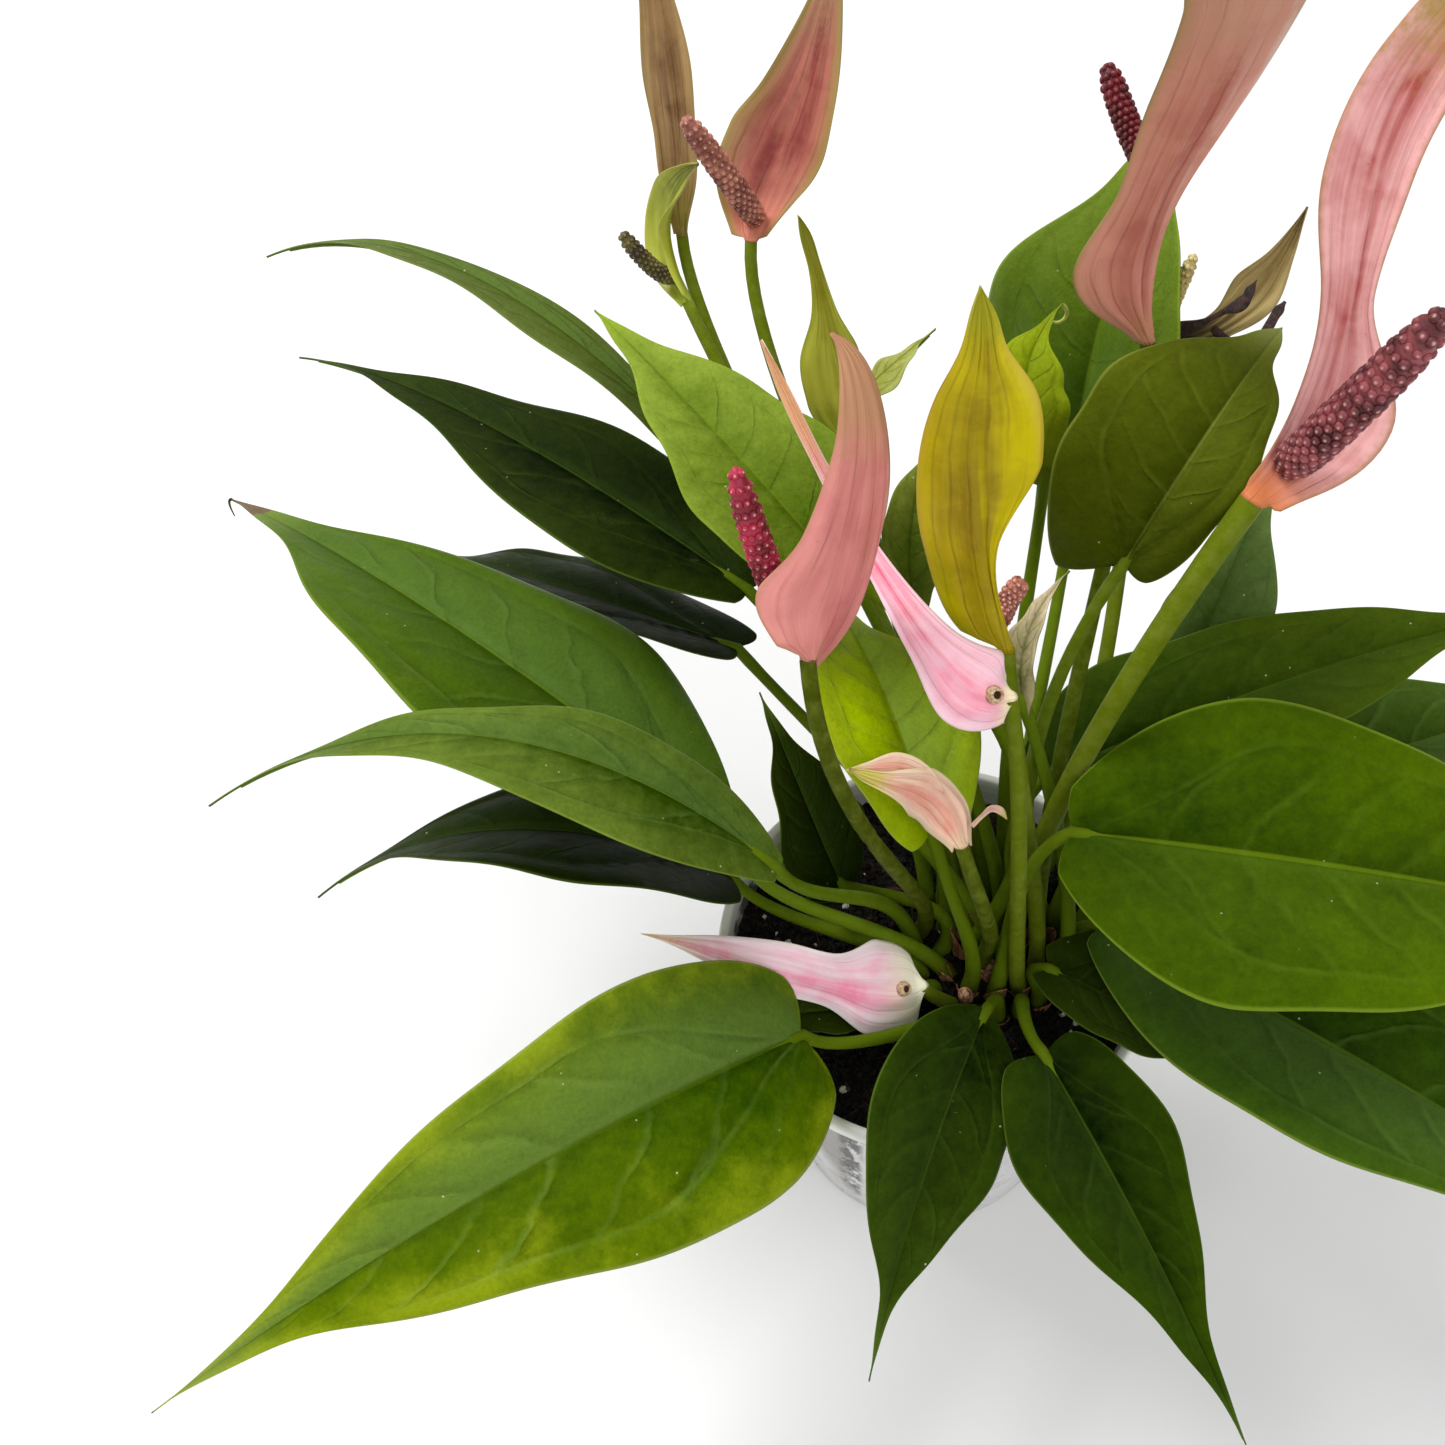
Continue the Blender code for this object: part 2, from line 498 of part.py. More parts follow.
def pot_radius(height):
    """Outer radius of the pot's tapered wall at a height."""
    return POT_FOOT_RADIUS + (POT_RIM_RADIUS - LIP_OVERHANG - POT_FOOT_RADIUS) * height / POT_HEIGHT


def make_pot(collection):
    """The pot is a turned profile: wall, floor and a thin rolled lip."""
    outline = [
        (POT_RIM_RADIUS - 2 * POT_WALL, POT_HEIGHT - 0.5),
        (POT_RIM_RADIUS - 1.4, POT_HEIGHT),
        (POT_RIM_RADIUS - 0.5, POT_HEIGHT - 0.2),
        (POT_RIM_RADIUS, POT_HEIGHT - 1.0),
        (POT_RIM_RADIUS, POT_HEIGHT - LIP_DEPTH),
        (pot_radius(POT_HEIGHT - LIP_DEPTH), POT_HEIGHT - LIP_DEPTH - 0.6),
        (POT_FOOT_RADIUS + 1.0, 1.2),
        (POT_FOOT_RADIUS, 0.0),
        (0.0, 0.0),
        (0.0, POT_FLOOR),
        (POT_FOOT_RADIUS - POT_WALL, POT_FLOOR),
        (POT_RIM_RADIUS - 2 * POT_WALL - 0.4, POT_HEIGHT - LIP_DEPTH),
    ]
    mesh = bpy.data.meshes.new("pot_profile")
    axis_edge = outline.index((0.0, 0.0))
    edges = [(k, (k + 1) % len(outline)) for k in range(len(outline)) if k != axis_edge]
    mesh.from_pydata([(MM * x, 0.0, MM * z) for x, z in outline], edges, [])
    profile = bpy.data.objects.new("pot_profile", mesh)
    collection.objects.link(profile)
    turn = profile.modifiers.new("turned wall", "SCREW")
    turn.steps = POT_SIDES
    turn.render_steps = POT_SIDES
    turn.use_merge_vertices = True
    turn.merge_threshold = MERGE_DISTANCE
    bpy.context.view_layer.update()
    evaluated = profile.evaluated_get(bpy.context.evaluated_depsgraph_get())
    turned = bpy.data.meshes.new_from_object(evaluated)
    bpy.data.objects.remove(profile)
    finish(turned, "pot", "pot_plastic", collection)


def make_mix(collection, cutters):
    """The potting mix fills the pot and has a plain hole for each stem."""
    inner_low = POT_FOOT_RADIUS - POT_WALL
    inner_high = POT_RIM_RADIUS - 2 * POT_WALL - 0.4
    low = POT_FLOOR + GAP
    slope = (inner_high - inner_low) / (POT_HEIGHT - LIP_DEPTH - POT_FLOOR)
    low_radius = inner_low + slope * GAP - MIX_CLEARANCE
    high_radius = inner_low + slope * (MIX_TOP - POT_FLOOR) - MIX_CLEARANCE
    work = bmesh.new()
    bmesh.ops.create_cone(work, cap_ends=True, segments=POT_SIDES, radius1=MM * low_radius,
                          radius2=MM * high_radius, depth=MM * (MIX_TOP - low))
    bmesh.ops.translate(work, verts=work.verts, vec=(0, 0, MM * (low + MIX_TOP) / 2))
    mesh = bpy.data.meshes.new("potting_mix")
    work.to_mesh(mesh)
    work.free()
    mix = finish(mesh, "potting_mix", "potting_mix", collection)

    holes = bmesh.new()
    for label, (ring_radius, slots) in STEM_RINGS.items():
        for slot in range(slots):
            if (label, slot) not in used_stands():
                continue
            angle = 2 * math.pi * slot / slots
            spot = CROWN_CENTRE + ring_radius * np.array([math.cos(angle), math.sin(angle)])
            made = bmesh.ops.create_cone(holes, cap_ends=True, segments=HOLE_SIDES, radius1=MM * HOLE_RADIUS,
                                         radius2=MM * HOLE_RADIUS, depth=MM * 2 * HOLE_DEPTH)
            bmesh.ops.translate(holes, verts=made["verts"], vec=(MM * spot[0], MM * spot[1], MM * MIX_TOP))
    cutter_mesh = bpy.data.meshes.new("stem_holes")
    holes.to_mesh(cutter_mesh)
    holes.free()
    cutter = bpy.data.objects.new("stem_holes", cutter_mesh)
    cutter.hide_render = True
    cutter.display_type = "WIRE"
    cutters.objects.link(cutter)
    cut = mix.modifiers.new("stem holes", "BOOLEAN")
    cut.operation = "DIFFERENCE"
    cut.solver = "EXACT"
    cut.object = cutter


def used_stands():
    """Every ring and slot that a stem stands in."""
    return [spec["stand"] for spec in (*LEAVES.values(), *BLOOMS.values())]


def make_crown(collection):
    """A short woody stump wrapped in dry sheaths, in the middle of the stems."""
    profile = ((GAP, 3.4), (1.5, 3.8), (3.0, 3.3), (4.2, 2.4), (5.0, 1.2))
    rings = []
    for row, (height, radius) in enumerate(profile):
        centre = np.array([*CROWN_CENTRE, MIX_TOP + height])
        ring = circle_ring(centre, np.array([1.0, 0.0, 0.0]), UP, radius, CROWN_SIDES)
        rings.append(floret_ring(centre, ring, row))
    make_mesh_object("crown", rings, "crown_sheath", collection)


def build():
    """Clears the scene and makes every sub-part."""
    for item in list(bpy.data.objects):
        bpy.data.objects.remove(item, do_unlink=True)
    parts = bpy.data.collections.new("potted_anthurium")
    cutters = bpy.data.collections.new("cutters")
    bpy.context.scene.collection.children.link(parts)
    bpy.context.scene.collection.children.link(cutters)
    make_pot(parts)
    make_mix(parts, cutters)
    make_crown(parts)
    for name, spec in LEAVES.items():
        make_leaf(name, spec, parts)
    for name, spec in BLOOMS.items():
        make_bloom(name, spec, parts)


build()
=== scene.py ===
"""A potted anthurium, dressed over its solids: pot, potting mix, crown, leaves and blooms.

Sizes are in millimetres and become metres where a mesh is made. Colours are written as the eye sees
them, 0 to 255. The origin is the middle of the pot's foot, +Z is up and the front looks towards -Y.
"""
import math

import bpy
import numpy as np
from mathutils import Matrix, Vector, noise


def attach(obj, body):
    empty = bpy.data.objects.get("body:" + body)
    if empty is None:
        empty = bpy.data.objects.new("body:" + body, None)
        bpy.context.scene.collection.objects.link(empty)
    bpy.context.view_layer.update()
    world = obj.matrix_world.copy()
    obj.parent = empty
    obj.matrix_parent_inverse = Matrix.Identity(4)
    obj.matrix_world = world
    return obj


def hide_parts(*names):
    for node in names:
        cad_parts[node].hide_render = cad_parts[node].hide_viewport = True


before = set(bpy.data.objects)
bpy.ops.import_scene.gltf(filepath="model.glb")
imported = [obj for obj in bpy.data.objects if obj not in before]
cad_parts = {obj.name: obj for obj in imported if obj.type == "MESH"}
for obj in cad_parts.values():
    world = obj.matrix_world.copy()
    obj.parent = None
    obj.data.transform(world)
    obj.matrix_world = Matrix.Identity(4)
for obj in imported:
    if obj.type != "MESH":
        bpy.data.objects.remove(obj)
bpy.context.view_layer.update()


# The pot
# A thin grower's pot, drawn from one sheet of white plastic over a mould, with a small rolled lip.
# Its wall is smudged with wet mix, and a dark streak runs down the front. Left of the streak the front
# wall is greyed with painted shade.
MM = 0.001
POT_HEIGHT = 90.0
POT_RIM_RADIUS = 52.5
POT_FOOT_RADIUS = 37.0
POT_WALL = 1.3
POT_FLOOR = 2.0
LIP_OVERHANG = 0.9
POT_SIDES = 160
WALL_ROWS = 34
STREAK_X = -22.0


def tint(red, green, blue):
    """The colour that the eye sees as these values, as light."""
    parts = [value / 255 for value in (red, green, blue)]
    return (*[part / 12.92 if part < 0.04 else ((part + 0.055) / 1.055) ** 2.4 for part in parts], 1.0)


def worked(tree, kind, output, sockets=None, **settings):
    """What a new node gives out; each of its sockets takes a number or what another node gives out."""
    made = tree.nodes.new(kind)
    for key, value in settings.items():
        setattr(made, key, value)
    for key, value in (sockets or {}).items():
        if isinstance(value, Value):
            tree.links.new(value.socket, made.inputs[key])
        else:
            made.inputs[key].default_value = value
    return Value(made.outputs[output])


def sum_node(operation, swapped=False):
    """A way to write one kind of sum with the values of a tree."""
    def work(first, second=0.0):
        sockets = {0: second, 1: first} if swapped else {0: first, 1: second}
        return worked(first.tree, "ShaderNodeMath", 0, sockets, operation=operation)
    return work


class Value:
    """What a node gives out. A sum written with it becomes a node of the same tree."""

    def __init__(self, socket):
        self.socket = socket
        self.tree = socket.id_data

    __add__ = sum_node("ADD")
    __radd__ = sum_node("ADD", swapped=True)
    __sub__ = sum_node("SUBTRACT")
    __rsub__ = sum_node("SUBTRACT", swapped=True)
    __mul__ = sum_node("MULTIPLY")
    __truediv__ = sum_node("DIVIDE")
    __pow__ = sum_node("POWER")
    __lt__ = sum_node("LESS_THAN")
    __abs__ = sum_node("ABSOLUTE")


fraction = sum_node("FRACT")
greater = sum_node("MAXIMUM")


def ramp(value, low, high, start=0.0, end=1.0):
    """The value taken smoothly from start, at low, to end, at high."""
    sockets = {"Value": value, "From Min": low, "From Max": high, "To Min": start, "To Max": end}
    return worked(value.tree, "ShaderNodeMapRange", "Result", sockets, interpolation_type="SMOOTHSTEP")


def mix(share, first, second, mode="MIX"):
    """The second colour laid over the first by a share."""
    sockets = {0: share, 6: first, 7: second}
    return worked(share.tree, "ShaderNodeMix", 2, sockets, data_type="RGBA", blend_type=mode)


def grain(place, size, detail=3.0, rough=0.5, warp=0.0):
    """Soft random patches of a size in millimetres, from 0 to 1."""
    sockets = {"Vector": place, "Scale": 1 / size, "Detail": detail, "Roughness": rough, "Distortion": warp}
    return worked(place.tree, "ShaderNodeTexNoise", 0, sockets)


def millimetres(tree):
    """Where a point of the piece lies, in millimetres."""
    sockets = {0: worked(tree, "ShaderNodeTexCoord", "Object"), 3: 1 / MM}
    return worked(tree, "ShaderNodeVectorMath", 0, sockets, operation="SCALE")


def stretched(place, scale, turn=(0.0, 0.0, 0.0)):
    """The place turned and scaled, which draws the grain on it out."""
    return worked(place.tree, "ShaderNodeMapping", 0, {"Vector": place, "Rotation": turn, "Scale": scale})


def new_finish(name, shine=None):
    """An empty finish and its shader."""
    finish = bpy.data.materials.new(name)
    finish.use_nodes = True
    shader = finish.node_tree.nodes["Principled BSDF"]
    if shine is not None:
        shader.inputs["Specular IOR Level"].default_value = shine
    return finish, shader


def wire(shader, colour, roughness, height, depth):
    """Joins colour, roughness and relief, with its depth in millimetres, to the shader."""
    sockets = {"Height": height, "Strength": 1.0, "Distance": depth * MM}
    normal = worked(height.tree, "ShaderNodeBump", 0, sockets)
    for label, value in (("Base Color", colour), ("Roughness", roughness), ("Normal", normal)):
        value.tree.links.new(value.socket, shader.inputs[label])


def place_in_scene(name, data):
    """An object made of this data, put into the scene."""
    item = bpy.data.objects.new(name, data)
    bpy.context.scene.collection.objects.link(item)
    return item


def mesh_piece(name, points, faces, finish, values=None):
    """An object made of points in millimetres, with the named values that its finish reads."""
    mesh = bpy.data.meshes.new(name)
    mesh.from_pydata((np.asarray(points) * MM).tolist(), [], faces)
    for key, numbers in (values or {}).items():
        held = mesh.attributes.new(key, "FLOAT", "POINT")
        held.data.foreach_set("value", np.asarray(numbers, np.float32).ravel())
    mesh.shade_smooth()
    mesh.materials.append(finish)
    return place_in_scene(name, mesh)


def settle(item, slot, *nodes):
    """The piece rides on the plant's one body and stands for these solids. Its slot is not used."""
    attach(item, "root")
    if nodes:
        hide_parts(*nodes)


def ring_faces(rows, count, closed_ends=True, start=0):
    """Faces of a tube of rows of count points, each end closed by one face."""
    faces = []
    for row in range(rows - 1):
        for k in range(count):
            a = start + row * count + k
            b = start + row * count + (k + 1) % count
            faces.append((a, b, b + count, a + count))
    if closed_ends:
        faces.append(tuple(start + k for k in reversed(range(count))))
        faces.append(tuple(start + (rows - 1) * count + k for k in range(count)))
    return faces


def circle(radius, height, sides):
    """Points evenly round a circle."""
    angles = [math.tau * k / sides for k in range(sides)]
    return [(radius * math.cos(angle), radius * math.sin(angle), height) for angle in angles]


def turned(outline, sides):
    """Points and faces of a turned shape; the outline runs from the axis round to the axis."""
    points = []
    for radius, height in outline[1:-1]:
        points += circle(radius, height, sides)
    rows = len(outline) - 2
    faces = ring_faces(rows, sides, closed_ends=False)
    first = len(points)
    points += [(0, 0, outline[0][1]), (0, 0, outline[-1][1])]
    last = (rows - 1) * sides
    for k in range(sides):
        after = (k + 1) % sides
        faces.append((first, after, k))
        faces.append((first + 1, last + k, last + after))
    return points, faces


def pot_radius(height):
    """Outer radius of the pot's tapered wall at a height."""
    return POT_FOOT_RADIUS + (POT_RIM_RADIUS - LIP_OVERHANG - POT_FOOT_RADIUS) * height / POT_HEIGHT


pot_finish, shader = new_finish("pot_plastic")
place = millimetres(pot_finish.node_tree)
smudge = ramp(grain(place, 16, 5, 0.6), 0.52, 0.72)
speck = ramp(grain(place, 1.8, 2, 0.6), 0.62, 0.7)
streak = ramp(grain(stretched(place, (1.0, 1.0, 0.5)), 5, 4, 0.65, 0.3), 0.42, 0.5)
at_x, at_y, at_z = [worked(place.tree, "ShaderNodeSeparateXYZ", axis, {0: place}) for axis in "XYZ"]
facing = ramp(at_y, -36, -30, 1, 0)
front = facing * ramp(abs(at_x - STREAK_X), 1.5, 3.5, 1, 0)
# Painted shade: the front wall left of the streak, below the lip.
front_painted_shade = facing * ramp(at_x, -23.5, -21.5, 1, 0) * ramp(at_z, 83, 86, 1, 0)
film = ramp(at_x, -44, -34, 1, 0) * ramp(grain(place, 7, 4, 0.65), 0.4, 0.55)
colour = mix(smudge * 0.35, tint(222, 221, 222), tint(160, 157, 152))
# The front wall left of the streak is greyed with painted shade.
colour = mix(front_painted_shade * 0.8, colour, tint(126, 116, 110))
colour = mix(speck * 0.5, colour, tint(112, 104, 94))
colour = mix(film * 0.85, colour, tint(50, 54, 50))
colour = mix(front * streak, colour, tint(42, 30, 24))
colour = mix(ramp(at_z, 85.6, 86.4), colour, tint(238, 238, 232))
wire(shader, colour, ramp(smudge, 0, 1, 0.32, 0.6), grain(place, 9, 2), 0.1)

lip_inside = POT_RIM_RADIUS - 2 * POT_WALL
outline = [(0, 0.6), (POT_FOOT_RADIUS - 5, 0.6), (POT_FOOT_RADIUS - 4, 0.0), (POT_FOOT_RADIUS - 0.8, 0.0),
           (POT_FOOT_RADIUS, 0.4), (POT_FOOT_RADIUS + 0.6, 1.6)]
for height in np.linspace(3, 84, WALL_ROWS):
    outline.append((pot_radius(height) + 0.12 * math.sin(height), height))
outline += [(pot_radius(85.6), 85.8), (POT_RIM_RADIUS - 0.25, 86.4), (POT_RIM_RADIUS, 87.0),
            (POT_RIM_RADIUS, 88.6), (POT_RIM_RADIUS - 0.2, 89.5), (POT_RIM_RADIUS - 0.8, POT_HEIGHT),
            (lip_inside + 0.4, POT_HEIGHT), (lip_inside, 89.4), (lip_inside - 0.4, 87.0),
            (POT_FOOT_RADIUS - POT_WALL, POT_FLOOR + 0.4), (POT_FOOT_RADIUS - POT_WALL - 0.4, POT_FLOOR),
            (0, POT_FLOOR)]
pot = mesh_piece("grower_pot", *turned(outline, POT_SIDES), pot_finish)
settle(pot, "pot_plastic", "pot")


# The potting mix
# Dark peat, pressed into the pot and still damp, with a lumpy top. Bark chips, grains of white
# perlite and fine roots lie loose on it.
MIX_TOP = 82.0
MIX_CLEARANCE = 0.36
MIX_RADIUS = 49.0
MIX_SIDES = 120
MIX_ROWS = 44


def mix_height(x, y):
    """Height of the mix's lumpy top, a little hollow towards the wall."""
    lumps = 1.6 * noise.fractal(Vector((x / 9, y / 9, 3.0)), 0.6, 2.0, 4)
    return MIX_TOP + 0.4 + lumps - 1.2 * (math.hypot(x, y) / MIX_RADIUS) ** 4


def new_tree(name, kind, inputs, outputs):
    """An empty tree with named inputs and outputs of these sorts, and what its inputs give."""
    tree = bpy.data.node_groups.new(name, kind)
    for way, rows in (("INPUT", inputs), ("OUTPUT", outputs)):
        for sort, *labels in rows:
            for label in labels:
                tree.interface.new_socket(label, in_out=way, socket_type="NodeSocket" + sort)
    return tree, {socket.name: Value(socket) for socket in tree.nodes.new("NodeGroupInput").outputs}


def give_out(tree, *values):
    """Joins the values to the tree's outputs, in their order."""
    out = tree.nodes.new("NodeGroupOutput")
    for value, socket in zip(values, out.inputs):
        tree.links.new(value.socket, socket)


def give_copies(tree, spots, item, turn, size, finish):
    """Lays a copy of the item on every spot, as a real mesh with this finish, and gives it out."""
    sockets = {"Points": spots, "Instance": item, "Rotation": turn, "Scale": size}
    real = worked(tree, "GeometryNodeRealizeInstances", 0,
                  {0: worked(tree, "GeometryNodeInstanceOnPoints", 0, sockets)})
    give_out(tree, worked(tree, "GeometryNodeSetMaterial", 0, {"Geometry": real, "Material": finish}))


def scatter_tree(name, roundness, jag, squash):
    """A tree that strews one lumpy grain, turned and sized at random, over a surface."""
    inputs = (("Geometry", "Surface"), ("Float", "Per square metre", "Smallest", "Largest"), ("Int", "Seed"),
              ("Material", "Finish"))
    tree, given = new_tree(name, "GeometryNodeTree", inputs, (("Geometry", "Grains"),))
    spots = worked(tree, "GeometryNodeDistributePointsOnFaces", "Points",
                   {"Mesh": given["Surface"], "Density": given["Per square metre"], "Seed": given["Seed"]})
    ball = worked(tree, "GeometryNodeMeshIcoSphere", 0, {"Radius": 0.5, "Subdivisions": roundness})
    at = worked(tree, "GeometryNodeInputPosition", 0)
    lumps = worked(tree, "ShaderNodeTexNoise", 1, {"Vector": at, "Scale": 2.2, "Detail": 2.0})
    shift = worked(tree, "ShaderNodeVectorMath", 0, {0: lumps, 1: (0.5, 0.5, 0.5)}, operation="SUBTRACT")
    shift = worked(tree, "ShaderNodeVectorMath", 0, {0: shift, 3: jag}, operation="SCALE")
    lumpy = worked(tree, "GeometryNodeSetPosition", 0, {"Geometry": ball, "Offset": shift})
    shaped = worked(tree, "GeometryNodeTransform", 0, {"Geometry": lumpy, "Scale": squash})
    turn = worked(tree, "FunctionNodeRandomValue", 0,
                  {"Max": (math.tau, math.tau, math.tau), "Seed": given["Seed"]}, data_type="FLOAT_VECTOR")
    size = worked(tree, "FunctionNodeRandomValue", 1,
                  {2: given["Smallest"], 3: given["Largest"], "Seed": given["Seed"]}, data_type="FLOAT")
    give_copies(tree, spots, shaped, turn, size, given["Finish"])
    return tree


def grown(name, guide, tree, values, finish):
    """The plain mesh that a tree makes on a guide, as a piece of its own."""
    change = guide.modifiers.new(name, "NODES")
    change.node_group = tree
    for socket in tree.interface.items_tree:
        if socket.in_out == "INPUT" and socket.name in values:
            change[socket.identifier] = values[socket.name]
    bpy.context.view_layer.update()
    seen = guide.evaluated_get(bpy.context.evaluated_depsgraph_get())
    mesh = bpy.data.meshes.new_from_object(seen)
    guide.modifiers.remove(change)
    mesh.materials.clear()
    mesh.materials.append(finish)
    mesh.name = name
    return place_in_scene(name, mesh)


def wire_grain(shader, value, low, high, dark, light, gloss, depth):
    """Joins a colour, roughness and relief that all follow one grain."""
    colour = mix(ramp(value, low, high), tint(*dark), tint(*light))
    wire(shader, colour, ramp(value, 0, 1, *gloss), value, depth)


mix_finish, shader = new_finish("damp_peat", shine=0.25)
place = millimetres(mix_finish.node_tree)
crumb = grain(place, 2.2, 6, 0.65)
damp = ramp(grain(place, 12, 3), 0.4, 0.65)
colour = mix(ramp(crumb, 0.46, 0.76), tint(4, 3, 2), tint(54, 42, 28))
colour = mix(damp * 0.5, colour, tint(3, 2, 2))
wire(shader, colour, ramp(damp, 0, 1, 0.85, 0.25), crumb, 1.2)

bark_finish, shader = new_finish("bark", shine=0.2)
fibre = grain(stretched(millimetres(bark_finish.node_tree), (0.3, 1.0, 1.4)), 1.1, 4, 0.6)
wire_grain(shader, fibre, 0.35, 0.7, (24, 14, 10), (84, 58, 42), (0.9, 0.6), 0.4)

perlite_finish, shader = new_finish("perlite")
pores = grain(millimetres(perlite_finish.node_tree), 0.5, 3, 0.6)
wire_grain(shader, pores, 0.4, 0.65, (176, 170, 160), (240, 238, 232), (0.7, 0.95), 0.2)

points = []
for row in range(1, MIX_ROWS + 1):
    ring = circle(MIX_RADIUS * row / MIX_ROWS, 0, MIX_SIDES)
    points += [(*spot[:2], mix_height(*spot[:2])) for spot in ring]
points += circle(MIX_RADIUS, 78.0, MIX_SIDES)
points += circle(POT_FOOT_RADIUS - POT_WALL - MIX_CLEARANCE, POT_FLOOR + 0.3, MIX_SIDES)
faces = [tuple(reversed(face)) for face in ring_faces(MIX_ROWS + 2, MIX_SIDES, closed_ends=False)]
centre = len(points)
last = (MIX_ROWS + 1) * MIX_SIDES
points += [(0, 0, mix_height(0, 0)), (0, 0, POT_FLOOR + 0.3)]
for k in range(MIX_SIDES):
    after = (k + 1) % MIX_SIDES
    faces += [(centre, k, after), (centre + 1, last + after, last + k)]
mix_body = mesh_piece("potting_mix_body", points, faces, mix_finish)
settle(mix_body, "potting_mix", "potting_mix")

top_faces = [tuple(reversed(face)) for face in ring_faces(MIX_ROWS, MIX_SIDES, closed_ends=False)]
top_faces += [(centre, k, (k + 1) % MIX_SIDES) for k in range(MIX_SIDES)]
surface = mesh_piece("mix_surface_guide", points, top_faces, mix_finish)
# Each kind of grain: its finish, roundness, jaggedness and proportions, how many lie on a square metre,
# the smallest and largest in metres, and its seed.
STREWN = (
    ("peat_crumbs", mix_finish, 1, 0.5, (1.0, 0.8, 0.6), 620000, 0.0009, 0.0030, 3),
    ("bark_chips", bark_finish, 1, 0.7, (1.6, 0.7, 0.28), 17000, 0.0018, 0.0046, 8),
    ("perlite_grains", perlite_finish, 2, 0.5, (1.0, 0.9, 0.8), 9000, 0.0008, 0.0026, 5),
    ("dry_fibres", bark_finish, 1, 0.1, (9.0, 0.16, 0.16), 15000, 0.0010, 0.0022, 11),
)
for name, finish, roundness, jag, squash, count, smallest, largest, seed in STREWN:
    values = {"Per square metre": count, "Smallest": smallest, "Largest": largest, "Seed": seed,
              "Finish": finish}
    strewn = grown(name, surface, scatter_tree(name, roundness, jag, squash), values, finish)
    settle(strewn, "potting_mix")
bpy.data.objects.remove(surface)


# The crown
# A short woody stump in the middle of the stems, wrapped in the dry brown sheaths of old leaves, with
# a cut bud and thin red-brown fibres beside it.
CROWN_CENTRE = np.array([14.0, 1.0])
UP = np.array([0.0, 0.0, 1.0])
RIGHT = np.array([1.0, 0.0, 0.0])
STUMP_ROWS = 14
STUMP_SIDES = 28


def unit(vectors):
    """Each vector at length one."""
    return vectors / np.linalg.norm(vectors, axis=-1, keepdims=True)


def curve(points, shares):
    """Points and directions on a Bezier curve of any degree, at each share of its length."""
    shares = np.asarray(shares, float)[:, None]
    level = [np.ones_like(shares) * np.asarray(point, float) for point in points]
    while len(level) > 2:
        level = [(1 - shares) * a + shares * b for a, b in zip(level, level[1:])]
    return (1 - shares) * level[0] + shares * level[1], unit(level[1] - level[0])


def square_to(side, along):
    """The side, turned square to each direction."""
    return unit(side - np.sum(side * along, axis=-1, keepdims=True) * along)


def tube(centres, along, side, radii, count):
    """Rings of a round stem, each starting left and running over its upper side."""
    across = square_to(side, along)
    up = np.cross(across, along)
    step = math.tau / count
    angles = math.pi - step / 2 - step * np.arange(count)
    turn = np.cos(angles)[None, :, None] * across[:, None, :] + np.sin(angles)[None, :, None] * up[:, None, :]
    return centres[:, None, :] + np.asarray(radii)[:, None, None] * turn


def tube_piece(name, tubes, finish, values=None):
    """An object of closed tubes, each given by its rings of points."""
    faces = []
    start = 0
    for rings in tubes:
        faces += ring_faces(*rings.shape[:2], start=start)
        start += rings.shape[0] * rings.shape[1]
    return mesh_piece(name, np.concatenate([rings.reshape(-1, 3) for rings in tubes]), faces, finish, values)


sheath_finish, shader = new_finish("dry_sheath")
place = millimetres(sheath_finish.node_tree)
fibre = grain(stretched(place, (1.0, 1.0, 0.16)), 0.9, 5, 0.6)
patch = ramp(grain(place, 5, 3), 0.4, 0.65)
colour = mix(ramp(fibre, 0.35, 0.7), tint(100, 54, 32), tint(206, 154, 108))
colour = mix(patch * 0.5, colour, tint(134, 72, 50))
wire(shader, colour, ramp(fibre, 0, 1, 0.75, 0.95), fibre, 0.3)

shares = np.linspace(0, 1, STUMP_ROWS)
radii = 3.9 * np.sqrt(np.clip(1 - (shares * 0.96) ** 3, 0, 1)) * (1 + 0.05 * np.sin(9 * shares))
centres = np.array([[*CROWN_CENTRE, MIX_TOP + 0.3 + 4.7 * share] for share in shares])
stump = tube(centres, np.tile(UP, (STUMP_ROWS, 1)), RIGHT, radii, STUMP_SIDES)
for row in range(STUMP_ROWS):
    for k in range(STUMP_SIDES):
        knob = 1 + 0.09 * noise.noise(Vector((k * 1.9, row * 0.7, 2.0)))
        stump[row, k, :2] = CROWN_CENTRE + (stump[row, k, :2] - CROWN_CENTRE) * knob
crown = tube_piece("crown_stump", [stump], sheath_finish)
settle(crown, "crown_sheath", "crown")

# The stems stand in three rings round the crown: the radius of each and how many places it has.
STEM_RINGS = {"inner": (6.4, 6), "middle": (12.2, 12), "outer": (18.0, 20)}
STEM_FOOT_RADIUS = 2.0
# Each husk: the foot that it wraps (ring, slot), its height and how far round it reaches, in degrees.
HUSKS = (("inner", 0, 9, 200), ("inner", 1, 6, 230), ("inner", 2, 7, 190), ("inner", 3, 11, 200),
         ("inner", 4, 7, 210), ("inner", 5, 10, 180), ("middle", 8, 5, 200), ("middle", 9, 9, 170),
         ("middle", 10, 6, 210), ("middle", 11, 8, 160), ("middle", 0, 7, 190), ("middle", 7, 6, 180),
         ("outer", 15, 3, 190), ("outer", 17, 5, 170), ("outer", 18, 4, 190), ("outer", 13, 3, 180))
HUSK_ROWS = 12
HUSK_COLUMNS = 11
HUSK_WALL = 0.28


def ring_foot(ring, slot):
    """Where a stem of a ring stands on the mix, and the way it faces out from the crown."""
    radius, slots = STEM_RINGS[ring]
    angle = math.tau * slot / slots
    return np.array([*(CROWN_CENTRE + radius * np.array([math.cos(angle), math.sin(angle)])), MIX_TOP]), angle


